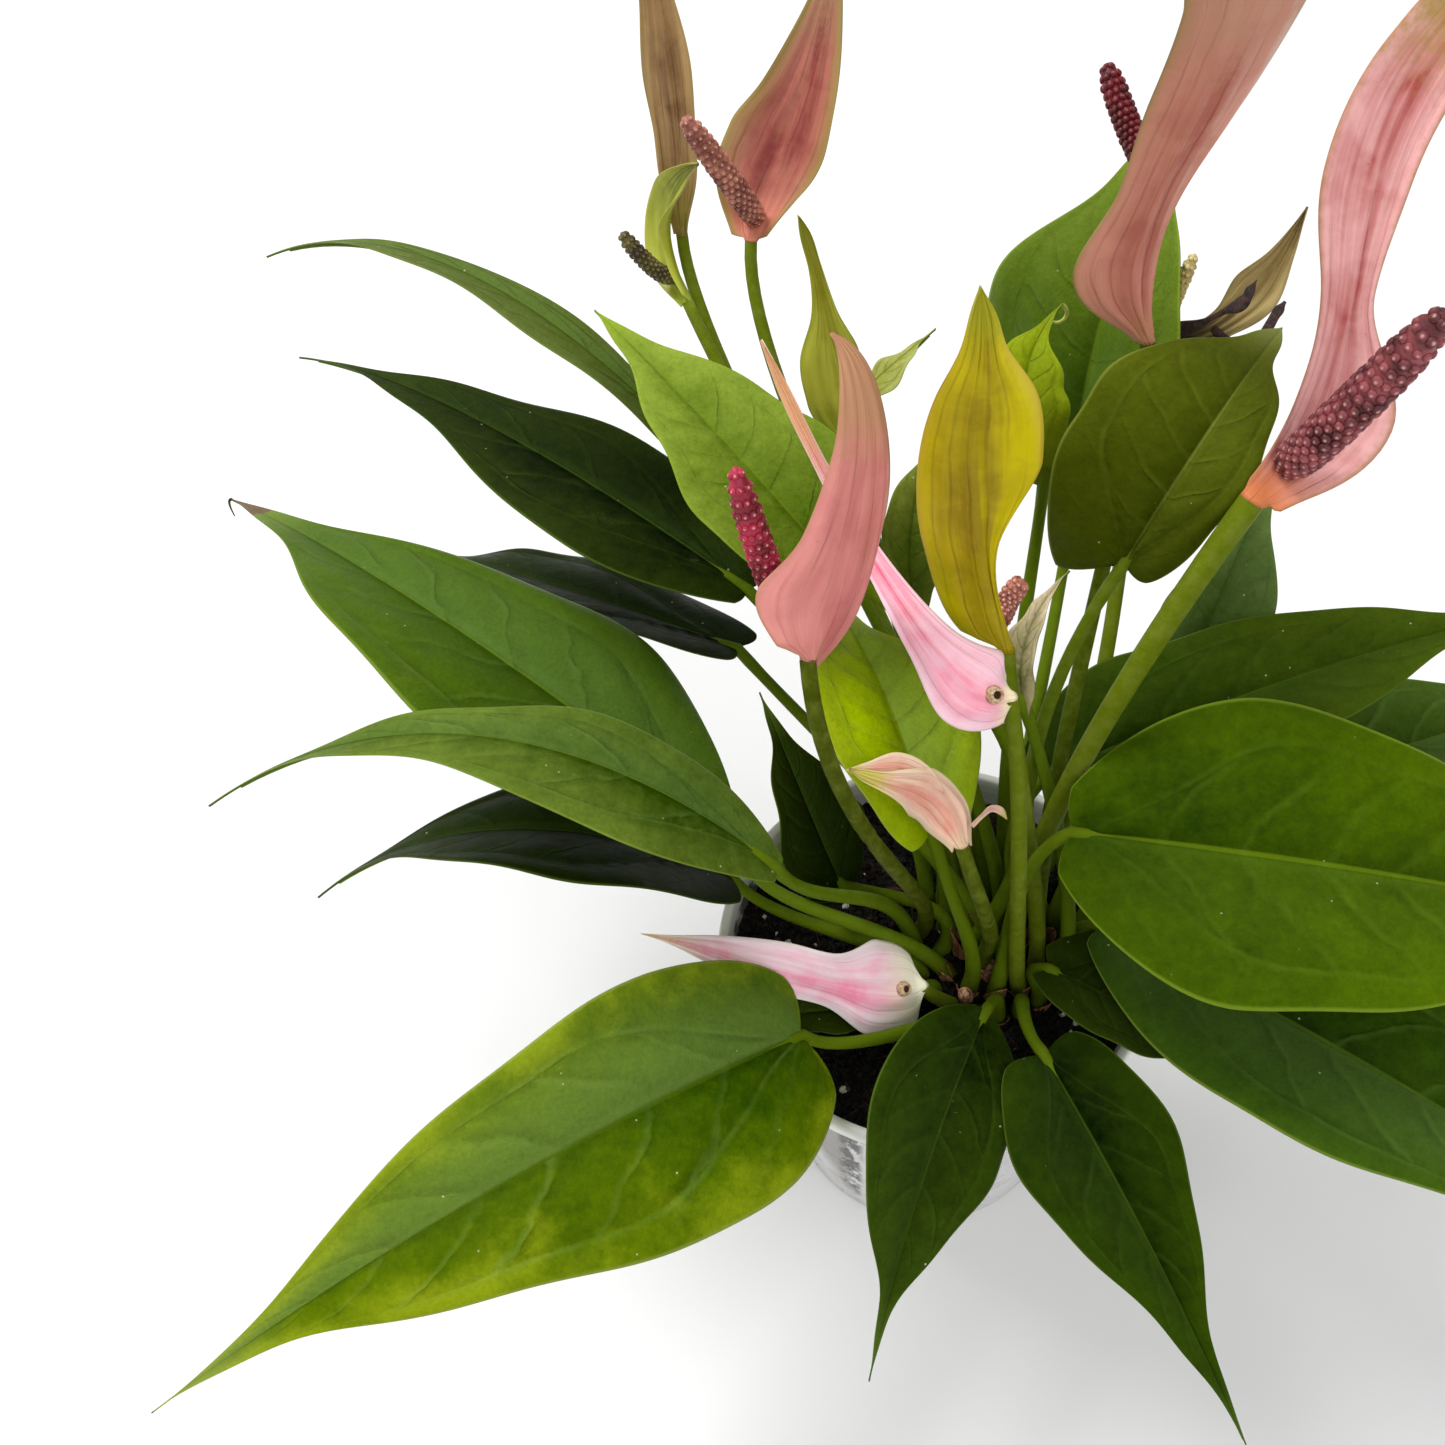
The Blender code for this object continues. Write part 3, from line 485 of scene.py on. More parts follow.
def grow_husk(foot, facing, height, spread):
    """Rings of a dry husk that stands round the outside of a stem's foot and tears to a point."""
    rings = []
    for row, share in enumerate(np.linspace(0, 1, HUSK_ROWS)):
        open_half = 0.5 * math.radians(spread) * max(0.06, (1 - share) ** 0.55)
        angles = facing + 0.25 * share + np.linspace(-open_half, open_half, HUSK_COLUMNS)
        ways = np.stack((np.cos(angles), np.sin(angles), np.zeros(HUSK_COLUMNS)), axis=1)
        crease = [noise.noise(Vector((k * 0.8, row * 0.35, facing + height))) for k in range(HUSK_COLUMNS)]
        crease = np.array(crease)[:, None]
        inner = STEM_FOOT_RADIUS + 0.42 + 0.9 * share ** 2 + 0.3 * (crease + 0.5)
        centre = foot + (0.2 + height * share) * UP
        torn = centre + 0.8 * share * crease * UP
        rings.append(np.vstack((torn + (inner + HUSK_WALL) * ways, (torn + inner * ways)[::-1])))
    return np.array(rings)


husk_rings = [grow_husk(*ring_foot(ring, slot), height, spread) for ring, slot, height, spread in HUSKS]
husks = tube_piece("crown_husks", husk_rings, sheath_finish)
settle(husks, "crown_sheath")

fibre_finish, shader = new_finish("red_fibre")
place = millimetres(fibre_finish.node_tree)
colour = mix(ramp(grain(place, 2.0, 3), 0.35, 0.65), tint(74, 22, 16), tint(120, 58, 36))
wire(shader, colour, grain(place, 1.0, 2), grain(place, 0.6, 2), 0.05)
# Each fibre: where it starts, the point that it bends to and its end.
FIBRES = (((9, -7, 82), (7, -9, 96), (12, -12, 90)), ((16, -6, 82), (18, -9, 92), (13, -10, 97)),
          ((10, 4, 82), (4, 2, 100), (9, -2, 105)), ((12, -5, 82), (17, -6, 99), (21, -9, 93)),
          ((20, -4, 82), (26, -6, 93), (23, -11, 87)), ((5, -3, 82), (1, -6, 93), (4, -9, 88)),
          ((18, 8, 82), (24, 9, 97), (27, 5, 90)))
FIBRE_ROWS = 16
FIBRE_SIDES = 6
fibre_side = np.array([0.3, 1.0, 0.1])
fibre_radii = np.linspace(0.32, 0.14, FIBRE_ROWS)
fibre_rings = [tube(*curve(bend, np.linspace(0, 1, FIBRE_ROWS)), fibre_side, fibre_radii, FIBRE_SIDES)
               for bend in FIBRES]
fibres = tube_piece("crown_fibres", fibre_rings, fibre_finish)
settle(fibres, "crown_sheath")

bud_finish, shader = new_finish("cut_bud")
spots = ramp(grain(millimetres(bud_finish.node_tree), 1.2, 4, 0.6), 0.4, 0.65)
colour = mix(spots, tint(214, 164, 132), tint(120, 70, 44))
wire(shader, colour, ramp(spots, 0, 1, 0.5, 0.8), spots, 0.15)
BUD_ROWS = 12
shares = np.linspace(0, 1, BUD_ROWS)
# The cut bud is stout and blunt, and the pink scale beside it is the closed tip of a new shoot.
BUDS = (
    ("cut_bud", ((7.4, -12.4, 81.5), (7.0, -13.0, 86.0), (6.0, -14.2, 90.0)),
     1.25 + 0.55 * np.sin(3.0 * shares) - 0.9 * np.clip((shares - 0.85) / 0.15, 0, 1) ** 2, 18),
    ("pink_scale", ((12.4, -7.0, 83.0), (13.0, -7.4, 87.0), (13.4, -6.4, 91.0)),
     1.3 * np.sqrt(np.clip(1.02 - shares ** 2, 0, 1)), 16),
)
for name, bend, radii, sides in BUDS:
    bud = tube_piece(name, [tube(*curve(bend, shares), RIGHT, radii, sides)], bud_finish)
    settle(bud, "crown_sheath")


# The leaves
# Each leaf is a long petiole that stands in the mix and a leathery, glossy blade with a paler midrib,
# veins that bend towards the point and a thin pale margin. Old blades yellow from the edge inwards.
# Painted shade and painted light run along either side of the midrib and veins, and a painted sheen
# lies on the right half of each blade.
# Each leaf: its kind of skin, its deep and its fresh green, where its stem stands (ring, slot), the
# blade's base and tip, how far its stem leans aside, the rise of the blade's middle above the chord
# (arch), its sway to the right and its lead towards the tip, its roll in degrees, its half widths and
# how far its lobes reach back, left and right, where it is widest (belly, a share of its length), how
# drawn out the point is, how blunt the base is and how much of the tip has dried (dry).
LEAVES = {
    "front_left": dict(skin="yellow", greens=((46, 76, 0), (116, 140, 0)), stand=("outer", 14),
        base=(-32, -30, 103), tip=(-160, -101, 95), lean=(0, -8), arch=22, sway=-5, roll=24,
        halves=(28.5, 25), belly=0.2, point=1.9, blunt=0.35),
    "front_narrow": dict(skin="dark", greens=((2, 16, 0), (58, 80, 8)), stand=("outer", 15),
        base=(10, -23, 98), tip=(-20, -95, 74), arch=13, sway=1, roll=25, halves=(16, 17.5),
        lobes=(0, 0), belly=0.28, point=2.0, blunt=0.66),
    "front_right": dict(skin="dark", greens=((4, 20, 0), (54, 78, 0)), stand=("outer", 16),
        base=(21, -36, 102), tip=(57, -114, 74), arch=8, sway=1, roll=-15, halves=(16, 17),
        lobes=(3, 3), belly=0.23, point=2.5, blunt=0.3),
    "right_small": dict(skin="dark", greens=((24, 38, 0), (52, 68, 8)), stand=("outer", 17),
        base=(25, -16, 103), tip=(65, -39, 92), arch=3, halves=(16, 11)),
    "right_low": dict(skin="green", greens=((18, 42, 0), (70, 102, 10)), stand=("outer", 19),
        base=(38, -8, 108), tip=(148, -69, 72), arch=25, sway=12, roll=-10, halves=(23, 23), belly=0.27,
        point=1.3, blunt=0.6),
    "right_bright": dict(skin="bright", greens=((36, 60, 0), (92, 122, 0)), stand=("middle", 9),
        base=(26, -8, 147), tip=(149, -25, 128), lean=(2, -2), arch=12, sway=6, roll=-18, halves=(32, 32),
        belly=0.27, point=1.3, blunt=0.56),
    "right_upper": dict(skin="dark", greens=((28, 50, 0), (74, 94, 14)), stand=("middle", 1),
        base=(26, 23, 123), tip=(148, 50, 149), lean=(-3, -7), arch=0, sway=-4, roll=-8, halves=(21, 19),
        belly=0.24, point=1.5),
    "right_under": dict(skin="green", greens=((42, 66, 2), (78, 102, 36)), stand=("outer", 0),
        base=(55, 25, 100), tip=(183, 59, 108), lean=(5, 0), arch=9, sway=5, halves=(23, 20)),
    "right_back": dict(skin="dark", greens=((60, 84, 24), (110, 134, 72)), stand=("outer", 1),
        base=(69, 60, 105), tip=(88, 89, 156), lean=(-7, -7), arch=10, roll=10, halves=(13, 17),
        belly=0.28, point=1.3),
    "olive": dict(skin="olive", greens=((58, 68, 0), (104, 116, 24)), stand=("outer", 2),
        base=(38, 34, 182), tip=(71, 68, 214), lean=(-14, -11), arch=19, sway=6, roll=-15,
        halves=(24, 12), lobes=(14, 2), point=1.2, blunt=0.3),
    "back_large": dict(skin="bright", greens=((68, 100, 2), (116, 138, 44)), stand=("outer", 4),
        base=(39, 90, 158), tip=(55, 115, 235), lean=(0, 1), arch=14, roll=25, halves=(33, 26), belly=0.4,
        point=1.3),
    "back_curled": dict(skin="bright", greens=((110, 126, 0), (148, 166, 26)), stand=("middle", 2),
        base=(24, 56, 188), tip=(28, 79, 214), lean=(-8, 5), arch=12, sway=-6, roll=-10, halves=(9, 9),
        belly=0.33, point=1.8),
    # The centre yellow leaf's greens are set lighter than its own, as painted light that makes up for the
    # shade a bloom casts on it.
    "centre_yellow": dict(skin="yellow", greens=((130, 152, 0), (190, 220, 0)), stand=("middle", 8),
        base=(-3, -5, 145), tip=(-22, 54, 153), lean=(2, -3), arch=9, roll=-20, halves=(18, 19),
        belly=0.33, point=1.3, blunt=0.45),
    "left_light": dict(skin="bright", greens=((72, 100, 0), (158, 180, 66)), stand=("inner", 3),
        base=(-22, 34, 186), tip=(-70, 85, 212), lean=(24, 4), arch=2, halves=(17, 19), belly=0.22,
        point=1.4, blunt=0.4),
    "left_hidden": dict(skin="dark", greens=((40, 58, 4), (72, 92, 24)), stand=("middle", 3),
        base=(-22, 73, 160), tip=(-61, 120, 168), arch=10, halves=(9, 9)),
    "left_top": dict(skin="green", greens=((70, 88, 14), (108, 122, 62)), stand=("outer", 8),
        base=(-50, 78, 175), tip=(-159, 142, 191), arch=24, roll=-10, halves=(8, 5), belly=0.2, point=1.4,
        blunt=0.35),
    "left_dark": dict(skin="dark", greens=((2, 14, 0), (52, 68, 8)), stand=("middle", 5),
        base=(-41, 52, 160), tip=(-161, 143, 160), lean=(3, 2), arch=11, lead=7, roll=-3, halves=(20, 18),
        belly=0.21, point=2.8, blunt=0.68),
    "left_short": dict(skin="dark", greens=((2, 16, 0), (42, 54, 4)), stand=("inner", 5),
        base=(-45, 54, 138), tip=(-129, 107, 119), lean=(-7, -1), arch=6, sway=-2, lead=11, roll=-20,
        halves=(15, 15.5), belly=0.37, point=1.4, blunt=0.31),
    "left_large": dict(skin="green", greens=((50, 77, 0), (85, 112, 18)), stand=("middle", 7),
        base=(-45, 6, 129), tip=(-175, 104, 146), lean=(-13, -1), arch=18, sway=-4, roll=-20,
        halves=(31, 28), lobes=(0, 0), belly=0.28, point=1.6, blunt=0.75, dry=0.1),
    "left_front": dict(skin="green", greens=((44, 68, 0), (118, 140, 50)), stand=("outer", 10),
        base=(-36, -10, 141), tip=(-165, 18, 131), lean=(-4, 5), arch=31, sway=4, lead=-7, roll=-1,
        halves=(16, 11.5), belly=0.25, point=2.6, blunt=0.7),
    "left_low": dict(skin="dark", greens=((2, 18, 0), (40, 52, 2)), stand=("outer", 11),
        base=(-49, 15, 99), tip=(-152, 17, 92), lean=(-4, -4), arch=22, sway=2, roll=-22, halves=(22, 22),
        point=2.4, blunt=0.35),
    "left_inner": dict(skin="dark", greens=((16, 28, 0), (40, 52, 6)), stand=("middle", 6),
        base=(-22, 8, 104), tip=(-39, 35, 144), lean=(9, 4), arch=9, sway=-3, roll=-14, halves=(12, 12),
        belly=0.31, point=1.7),
    "small_low": dict(skin="dark", greens=((30, 44, 0), (48, 62, 8)), stand=("outer", 12),
        base=(-19, -19, 92), tip=(-45, -22, 94), lean=(0, -2), arch=4, sway=-1, halves=(6.5, 7)),
    "back_inner": dict(skin="dark", greens=((64, 86, 4), (140, 150, 60)), stand=("inner", 1),
        base=(-4, 42, 165), tip=(4, 60, 205), arch=7, sway=-2, halves=(6, 7.5)),
    "centre_narrow": dict(skin="dark", greens=((90, 96, 30), (236, 214, 176)), stand=("outer", 18),
        base=(18, 20, 156), tip=(27, 34, 181), lean=(5, -2), arch=3, sway=-3, roll=20, halves=(5, 4)),
    "young": dict(skin="olive", greens=((140, 146, 40), (196, 200, 130)), stand=("middle", 4),
        base=(-22, 74, 188), tip=(3, 91, 200), lean=(-2, 0), arch=5, sway=4, halves=(3, 5)),
}

STEM_FOOT_DEPTH = 6.0
FOOT_SWELL = 0.12
PETIOLE_TOP_RADIUS = 1.25
PETIOLE_KNEE = 0.16
LEAF_FOLD = math.radians(12)
LEAF_CUP = math.radians(-10)
LEAF_LOBES = (5, 5)
LEAF_SHAPE = {"belly": 0.3, "point": 1.75, "blunt": 0.5}
LOBE_SHARE = 0.25
LEAF_UPTURN = 0.6
LEAF_WAVE_HEIGHT = 0.7
LEAF_WAVES = 3.0
LEAST_HALF_WIDTH = 0.12
UNEVENNESS = 0.9
PINCH_DEPTH = 0.3
PINCH_PLACE = 0.82
PINCH_LENGTH = 0.1
MARGIN_THICKNESS = 0.16
MIDDLE_THICKNESS = 0.36
SIDE_VEINS = 8
VEIN_DEPTH = 0.05
DRY_TIP = 0.004
BLADE_ROWS = 96
HALF_ACROSS = np.array([0, 0.025, 0.07, 0.14, 0.22, 0.31, 0.4, 0.49, 0.57, 0.65, 0.72, 0.79, 0.86, 0.92,
                        0.97, 1.0])
BLADE_ACROSS = np.concatenate((-HALF_ACROSS[:0:-1], HALF_ACROSS))
PETIOLE_ROWS = 22
PETIOLE_SIDES = 12
RIB_ROWS = 30

# How each kind of leaf looks: the green of the painted light beside its veins and of its painted sheen,
# its midrib, its margin and its underside, how much fresh green shows, how far it has yellowed in from
# the edge, how strongly the painted shade and light beside its veins show and how much painted sheen
# lies on its right half.
LEAF_COLOURS = ("vein", "midrib", "rim", "under")
LEAF_MEASURES = ("freshness", "aged", "crease", "paler")
LEAF_SKINS = {
    "dark": ((70, 98, 34), (70, 94, 24), (96, 118, 40), (60, 82, 30), 0.85, 0.0, 0.4, 0.12),
    "green": ((104, 136, 64), (100, 128, 36), (140, 162, 60), (78, 102, 36), 0.85, 0.0, 0.5, 0.3),
    "bright": ((112, 144, 40), (112, 138, 22), (146, 172, 50), (92, 120, 30), 0.8, 0.0, 0.35, 0.1),
    "yellow": ((124, 154, 70), (84, 112, 10), (160, 174, 84), (120, 140, 50), 0.75, 0.3, 0.6, 0.45),
    "olive": ((120, 134, 40), (132, 142, 56), (140, 150, 60), (100, 112, 34), 0.6, 0.0, 0.5, 0.15),
}
STEM_GREEN = (96, 116, 14)
AGED_GREEN = (140, 156, 20)
SKIN_OUTPUTS = (("Color", "colour"), ("Float", "roughness", "height"))


def held_values(tree, *labels):
    """The values that a mesh holds under these names."""
    return [worked(tree, "ShaderNodeAttribute", "Fac", attribute_name=label) for label in labels]


def shifted_place(tree, shift):
    """Where a point lies, in millimetres, moved aside so that no two pieces look alike."""
    shift = worked(tree, "ShaderNodeCombineXYZ", 0, {0: shift})
    return worked(tree, "ShaderNodeVectorMath", 0, {0: millimetres(tree), 1: shift})


def clamped(value):
    """The value, held between 0 and 1."""
    return worked(value.tree, "ShaderNodeClamp", 0, {0: value})


def specks(place, density, low, high):
    """Small round specks, strewn at random."""
    distance = worked(place.tree, "ShaderNodeTexVoronoi", "Distance", {"Vector": place, "Scale": density})
    return ramp(distance, low, high, 1, 0)


def crest_line(value, low, peak, high):
    """A soft line where the value passes the peak."""
    return ramp(value, low, peak) * ramp(value, peak, high, 1, 0)


def leaf_skin_group():
    """Colour, gloss and relief of a leaf from its values across, along, under and stem."""
    inputs = (("Color", "deep", "fresh", "stem", *LEAF_COLOURS), ("Float", *LEAF_MEASURES, "dry", "shift"))
    tree, given = new_tree("leaf_skin", "ShaderNodeTree", inputs, SKIN_OUTPUTS)
    place = shifted_place(tree, given["shift"])
    across, along, under, stem = held_values(tree, "across", "along", "under", "stem")
    out = abs(across)
    fine = grain(place, 3.2, 5, 0.65)
    wander = (grain(place, 14, 3) - 0.5) * 0.09
    near = fraction((along + wander - out ** 1.25 * 0.2) * SIDE_VEINS + 0.5) - 0.5
    reach = ramp(along, -0.06, 0.34) * 0.72 + ramp(along, 0.3, 1.0) * 0.2
    past = out - reach + wander
    inside = ramp(past, -0.02, 0.02, 1, 0.3)
    broken = ramp(grain(place, 11, 3, 0.6), 0.35, 0.65, 0.3, 1.0)
    long_fade = ramp(along, 0.4, 0.85, 1, 0) * broken
    side_fade = inside * ramp(along, 0.6, 0.95, 1, 0) * broken * ramp(out, 0.7, 0.98, 1, 0)
    mid_fade = ramp(along, 0.7, 1.0, 1, 0.2)
    # Painted shade and painted light: a dark band on one side of the midrib, the long veins and the side
    # veins, and a light band on the other side, laid on as the relief's shading. The dark band also sinks the
    # relief and marks the veins under the leaf.
    dark = greater(crest_line(past, -0.12, -0.02, 0.0) * long_fade,
                   crest_line(near, -0.3, -0.06, 0.0) * side_fade)
    dark = greater(dark, crest_line(across, -0.14, -0.02, 0.01) * mid_fade)
    light = greater(crest_line(past, -0.02, 0.015, 0.06) * long_fade,
                    crest_line(near, -0.04, 0.04, 0.16) * side_fade)
    light = greater(light, crest_line(across, 0.01, 0.04, 0.14) * mid_fade)

    # The green is deeper near the midrib and the base, and fresher in soft patches.
    patches = ramp(grain(place, 24, 4, 0.6, 0.4), 0.32, 0.68) - 0.5
    blotches = ramp(grain(place, 5, 4, 0.7), 0.35, 0.65) - 0.5
    share = 0.1 + out * 0.42 + ramp(along, 0.1, 1.0) * 0.55
    share = share + patches * 0.24 + blotches * 0.1 + (fine - 0.5) * 0.7
    colour = mix(clamped(share * given["freshness"]), given["deep"], given["fresh"])
    worn = out + (grain(place, 17, 5, 0.65) - 0.5) * 2.2 + ramp(along, 0.3, 1.0) * 0.6 + given["aged"]
    worn = ramp(worn, 0.8, 1.6) * ramp(given["aged"], 0.0, 0.3, 0, 0.85)
    colour = mix(worn, colour, tint(*AGED_GREEN))
    # Painted sheen: the right half is laid over with a paler green, strongest by the midrib.
    half = ramp(across, -0.02, 0.04) * ramp(out, 0.2, 1.0, 1, 0.2) * given["paler"]
    colour = mix(half, colour, given["vein"])
    dust = grain(place, 1.0, 5, 0.75) - 0.5
    # The dark band darkens the colour as painted shade; the fine dust is real grain.
    bright = 1.0 + dust * 0.7 - dark * given["crease"] * 0.34
    colour = worked(tree, "ShaderNodeVectorMath", 0, {0: colour, 3: bright}, operation="SCALE")
    # The light band is laid on as painted light.
    colour = mix(light * given["crease"] * 0.4, colour, given["vein"])
    rib = ramp(out, 0.008, 0.024, 1, 0) * mid_fade
    colour = mix(rib * 0.5, colour, given["midrib"])

    # Scuffs, pale specks, the pale point and margin, the underside, the dried tip and the stem.
    scuff = ramp(grain(stretched(place, (0.25, 1.4, 1.0), (0.4, 0.3, 0.9)), 1.4, 3, 0.6, 1.2), 0.7, 0.76)
    scuff = scuff * ramp(grain(place, 9, 2), 0.55, 0.7)
    colour = mix(scuff * 0.3, colour, tint(196, 204, 170))
    dots = specks(place, 0.22, 0.035, 0.06) * ramp(fine, 0.48, 0.56)
    colour = mix(dots * 0.7, colour, tint(210, 212, 180))
    colour = mix(ramp(along, 0.76, 1.0) * 0.7, colour, given["rim"])
    colour = mix(ramp(out, 0.965, 0.995) * 0.55, colour, given["rim"])
    colour = mix(under, colour, mix(greater(dark, rib) * 0.4, given["under"], given["rim"]))
    withered = 1.0 - along + (fine - 0.5) * 0.012 < given["dry"]
    colour = mix(withered * 0.9, colour, tint(116, 88, 70))
    colour = mix(stem, colour, mix(ramp(fine, 0.35, 0.75, 0.0, 0.45), given["stem"], given["midrib"]))
    height = dust * 0.5 - dark * 0.4 + grain(place, 7, 2) * 0.9
    gloss = ramp(grain(place, 10, 4), 0.3, 0.7, 0.28, 0.46) + greater(under, scuff) * 0.22
    give_out(tree, colour, gloss, height)
    return tree


def skin_finish(name, group, looks, depth, shine):
    """A finish that a group works out from the looks; three numbers together are a colour."""
    finish, shader = new_finish(name, shine)
    made = shader.id_data.nodes.new("ShaderNodeGroup")
    made.node_tree = group
    for key, look in looks.items():
        made.inputs[key].default_value = tint(*look) if isinstance(look, tuple) else look
    wire(shader, *[Value(made.outputs[key]) for key in ("colour", "roughness", "height")], depth)
    return finish, shader


LEAF_SKIN = leaf_skin_group()


def leaf_finish(name, skin, greens, stem, shift, dry=DRY_TIP):
    """The finish of one leaf from its kind of skin and its two greens."""
    looks = dict(zip((*LEAF_COLOURS, *LEAF_MEASURES), LEAF_SKINS[skin]))
    looks.update(deep=greens[0], fresh=greens[1], stem=stem, dry=dry, shift=shift)
    finish, shader = skin_finish(name, LEAF_SKIN, looks, 0.5, 0.05)
    shader.inputs["Specular Tint"].default_value = (0.8, 1.0, 0.4, 1.0)
    return finish


def leaf_width(shares, belly, point, blunt):
    """Share of the full half width along a blade: widest at the belly, drawn out to a long point."""
    rising = np.sin(0.5 * math.pi * np.minimum(shares / belly, 1.0)) ** blunt
    past = np.clip((shares - belly) / (1 - belly), 0, 1)
    return np.where(shares < belly, rising, (1 - past) ** point * (1 + point * past))


def blade_shell(centres, across, up, along, left, right, fold, cup, sweep, lift, thickness, share_across):
    """Upper and lower faces of a thin blade, and the values across and under of each point."""
    u = share_across[None, :]
    sign = np.sign(u)
    half = np.where(u < 0, left[:, None], right[:, None])
    safe = np.where(np.abs(cup) < 0.01, 0.01, cup)[:, None]
    flat = safe * np.abs(u)
    reach = half * np.sin(flat) / safe
    rise = half * (1 - np.cos(flat)) / safe
    out = reach * math.cos(fold) - rise * math.sin(fold)
    soft = np.sqrt(u * u + 0.0016) - 0.04
    high = half * soft * math.sin(fold) + rise * math.cos(fold) + lift
    tilt = fold + cup[:, None] * np.abs(u)
    across, up, along = across[:, None, :], up[:, None, :], along[:, None, :]
    upper = centres[:, None, :] + (sign * out)[..., None] * across + high[..., None] * up
    upper = upper - sweep[..., None] * along
    normal = np.cos(tilt)[..., None] * up - (sign * np.sin(tilt))[..., None] * across
    lower = upper - thickness[..., None] * normal
    rows = len(centres)
    values = np.tile(np.concatenate((u, u[:, ::-1]), axis=1), (rows, 1))
    below = np.tile(np.repeat([0.0, 1.0], u.shape[1]), (rows, 1))
    return np.concatenate((upper, lower[:, ::-1]), axis=1), values, below


def blade_faces(rows, count):
    """Faces of a blade's shell, and those that close its far end across the thickness."""
    last = (rows - 1) * count
    end_faces = [(last + k, last + k + 1, last + count - 2 - k, last + count - 1 - k)
                 for k in range(count // 2 - 1)]
    return ring_faces(rows, count, closed_ends=False), end_faces


def stem_line(spec, target, direction, rise, reach, shares):
    """Centres and directions of a stem from its foot in the mix up to the target."""
    ground = ring_foot(*spec["stand"])[0]
    lean = np.array([*spec.get("lean", (0, 0)), 0.0])
    bends = (ground, ground + rise * UP + lean, target - reach * direction + lean, target)
    line, heading = curve(bends, shares)
    return np.vstack((ground - STEM_FOOT_DEPTH * UP, line)), np.vstack((UP, heading))


def eased(values, low, high):
    """Values taken smoothly from 0, at low, to 1, at high."""
    share = np.clip((values - low) / (high - low), 0, 1)
    return share * share * (3 - 2 * share)


def vein_relief(shares, u, depth):
    """How far a blade swells between its sunken midrib, its two long veins and its side veins."""
    out = np.abs(u)
    long_vein = 0.72 * eased(shares, -0.06, 0.34) + 0.2 * eased(shares, 0.3, 1.0)
    inside = out < long_vein
    share = np.where(inside, out / long_vein, (out - long_vein) / (1.001 - long_vein))
    swell = np.sin(math.pi * np.clip(share, 0, 1)) ** 0.8 * np.where(inside, 1.0, 0.7)
    phase = (shares - 0.2 * out ** 1.25) * SIDE_VEINS
    ridges = np.abs(np.sin(math.pi * phase)) ** 0.7 * np.where(inside, 1.0, 0.35)
    return depth * (swell + 0.35 * ridges * np.minimum(1, out / 0.1) * (1 - out ** 3)) * (1 - shares) ** 0.5


def uneven(shares, start):
    """A slow uneven swing, different for each start, within about one on either side."""
    slow = 0.6 * np.sin(math.tau * (1.6 * shares + 0.37 * start))
    return slow + 0.4 * np.sin(math.tau * (3.7 * shares + 0.61 * start))


def bump_at(values, place, width):
    """A soft bump, one high at the place and gone a little more than a width away."""
    return np.exp(-((values - place) / width) ** 2)


def stem_radii(top_radius, steps, knee=0.0):
    """Radii of a stem, swollen a little at its foot and, by the knee, just below its top."""
    radii = STEM_FOOT_RADIUS + (top_radius - STEM_FOOT_RADIUS) * steps
    swell = 1 + knee * bump_at(steps, 0.97, 0.05) + FOOT_SWELL * bump_at(steps, 0, 0.08)
    return np.append(STEM_FOOT_RADIUS, radii * swell)


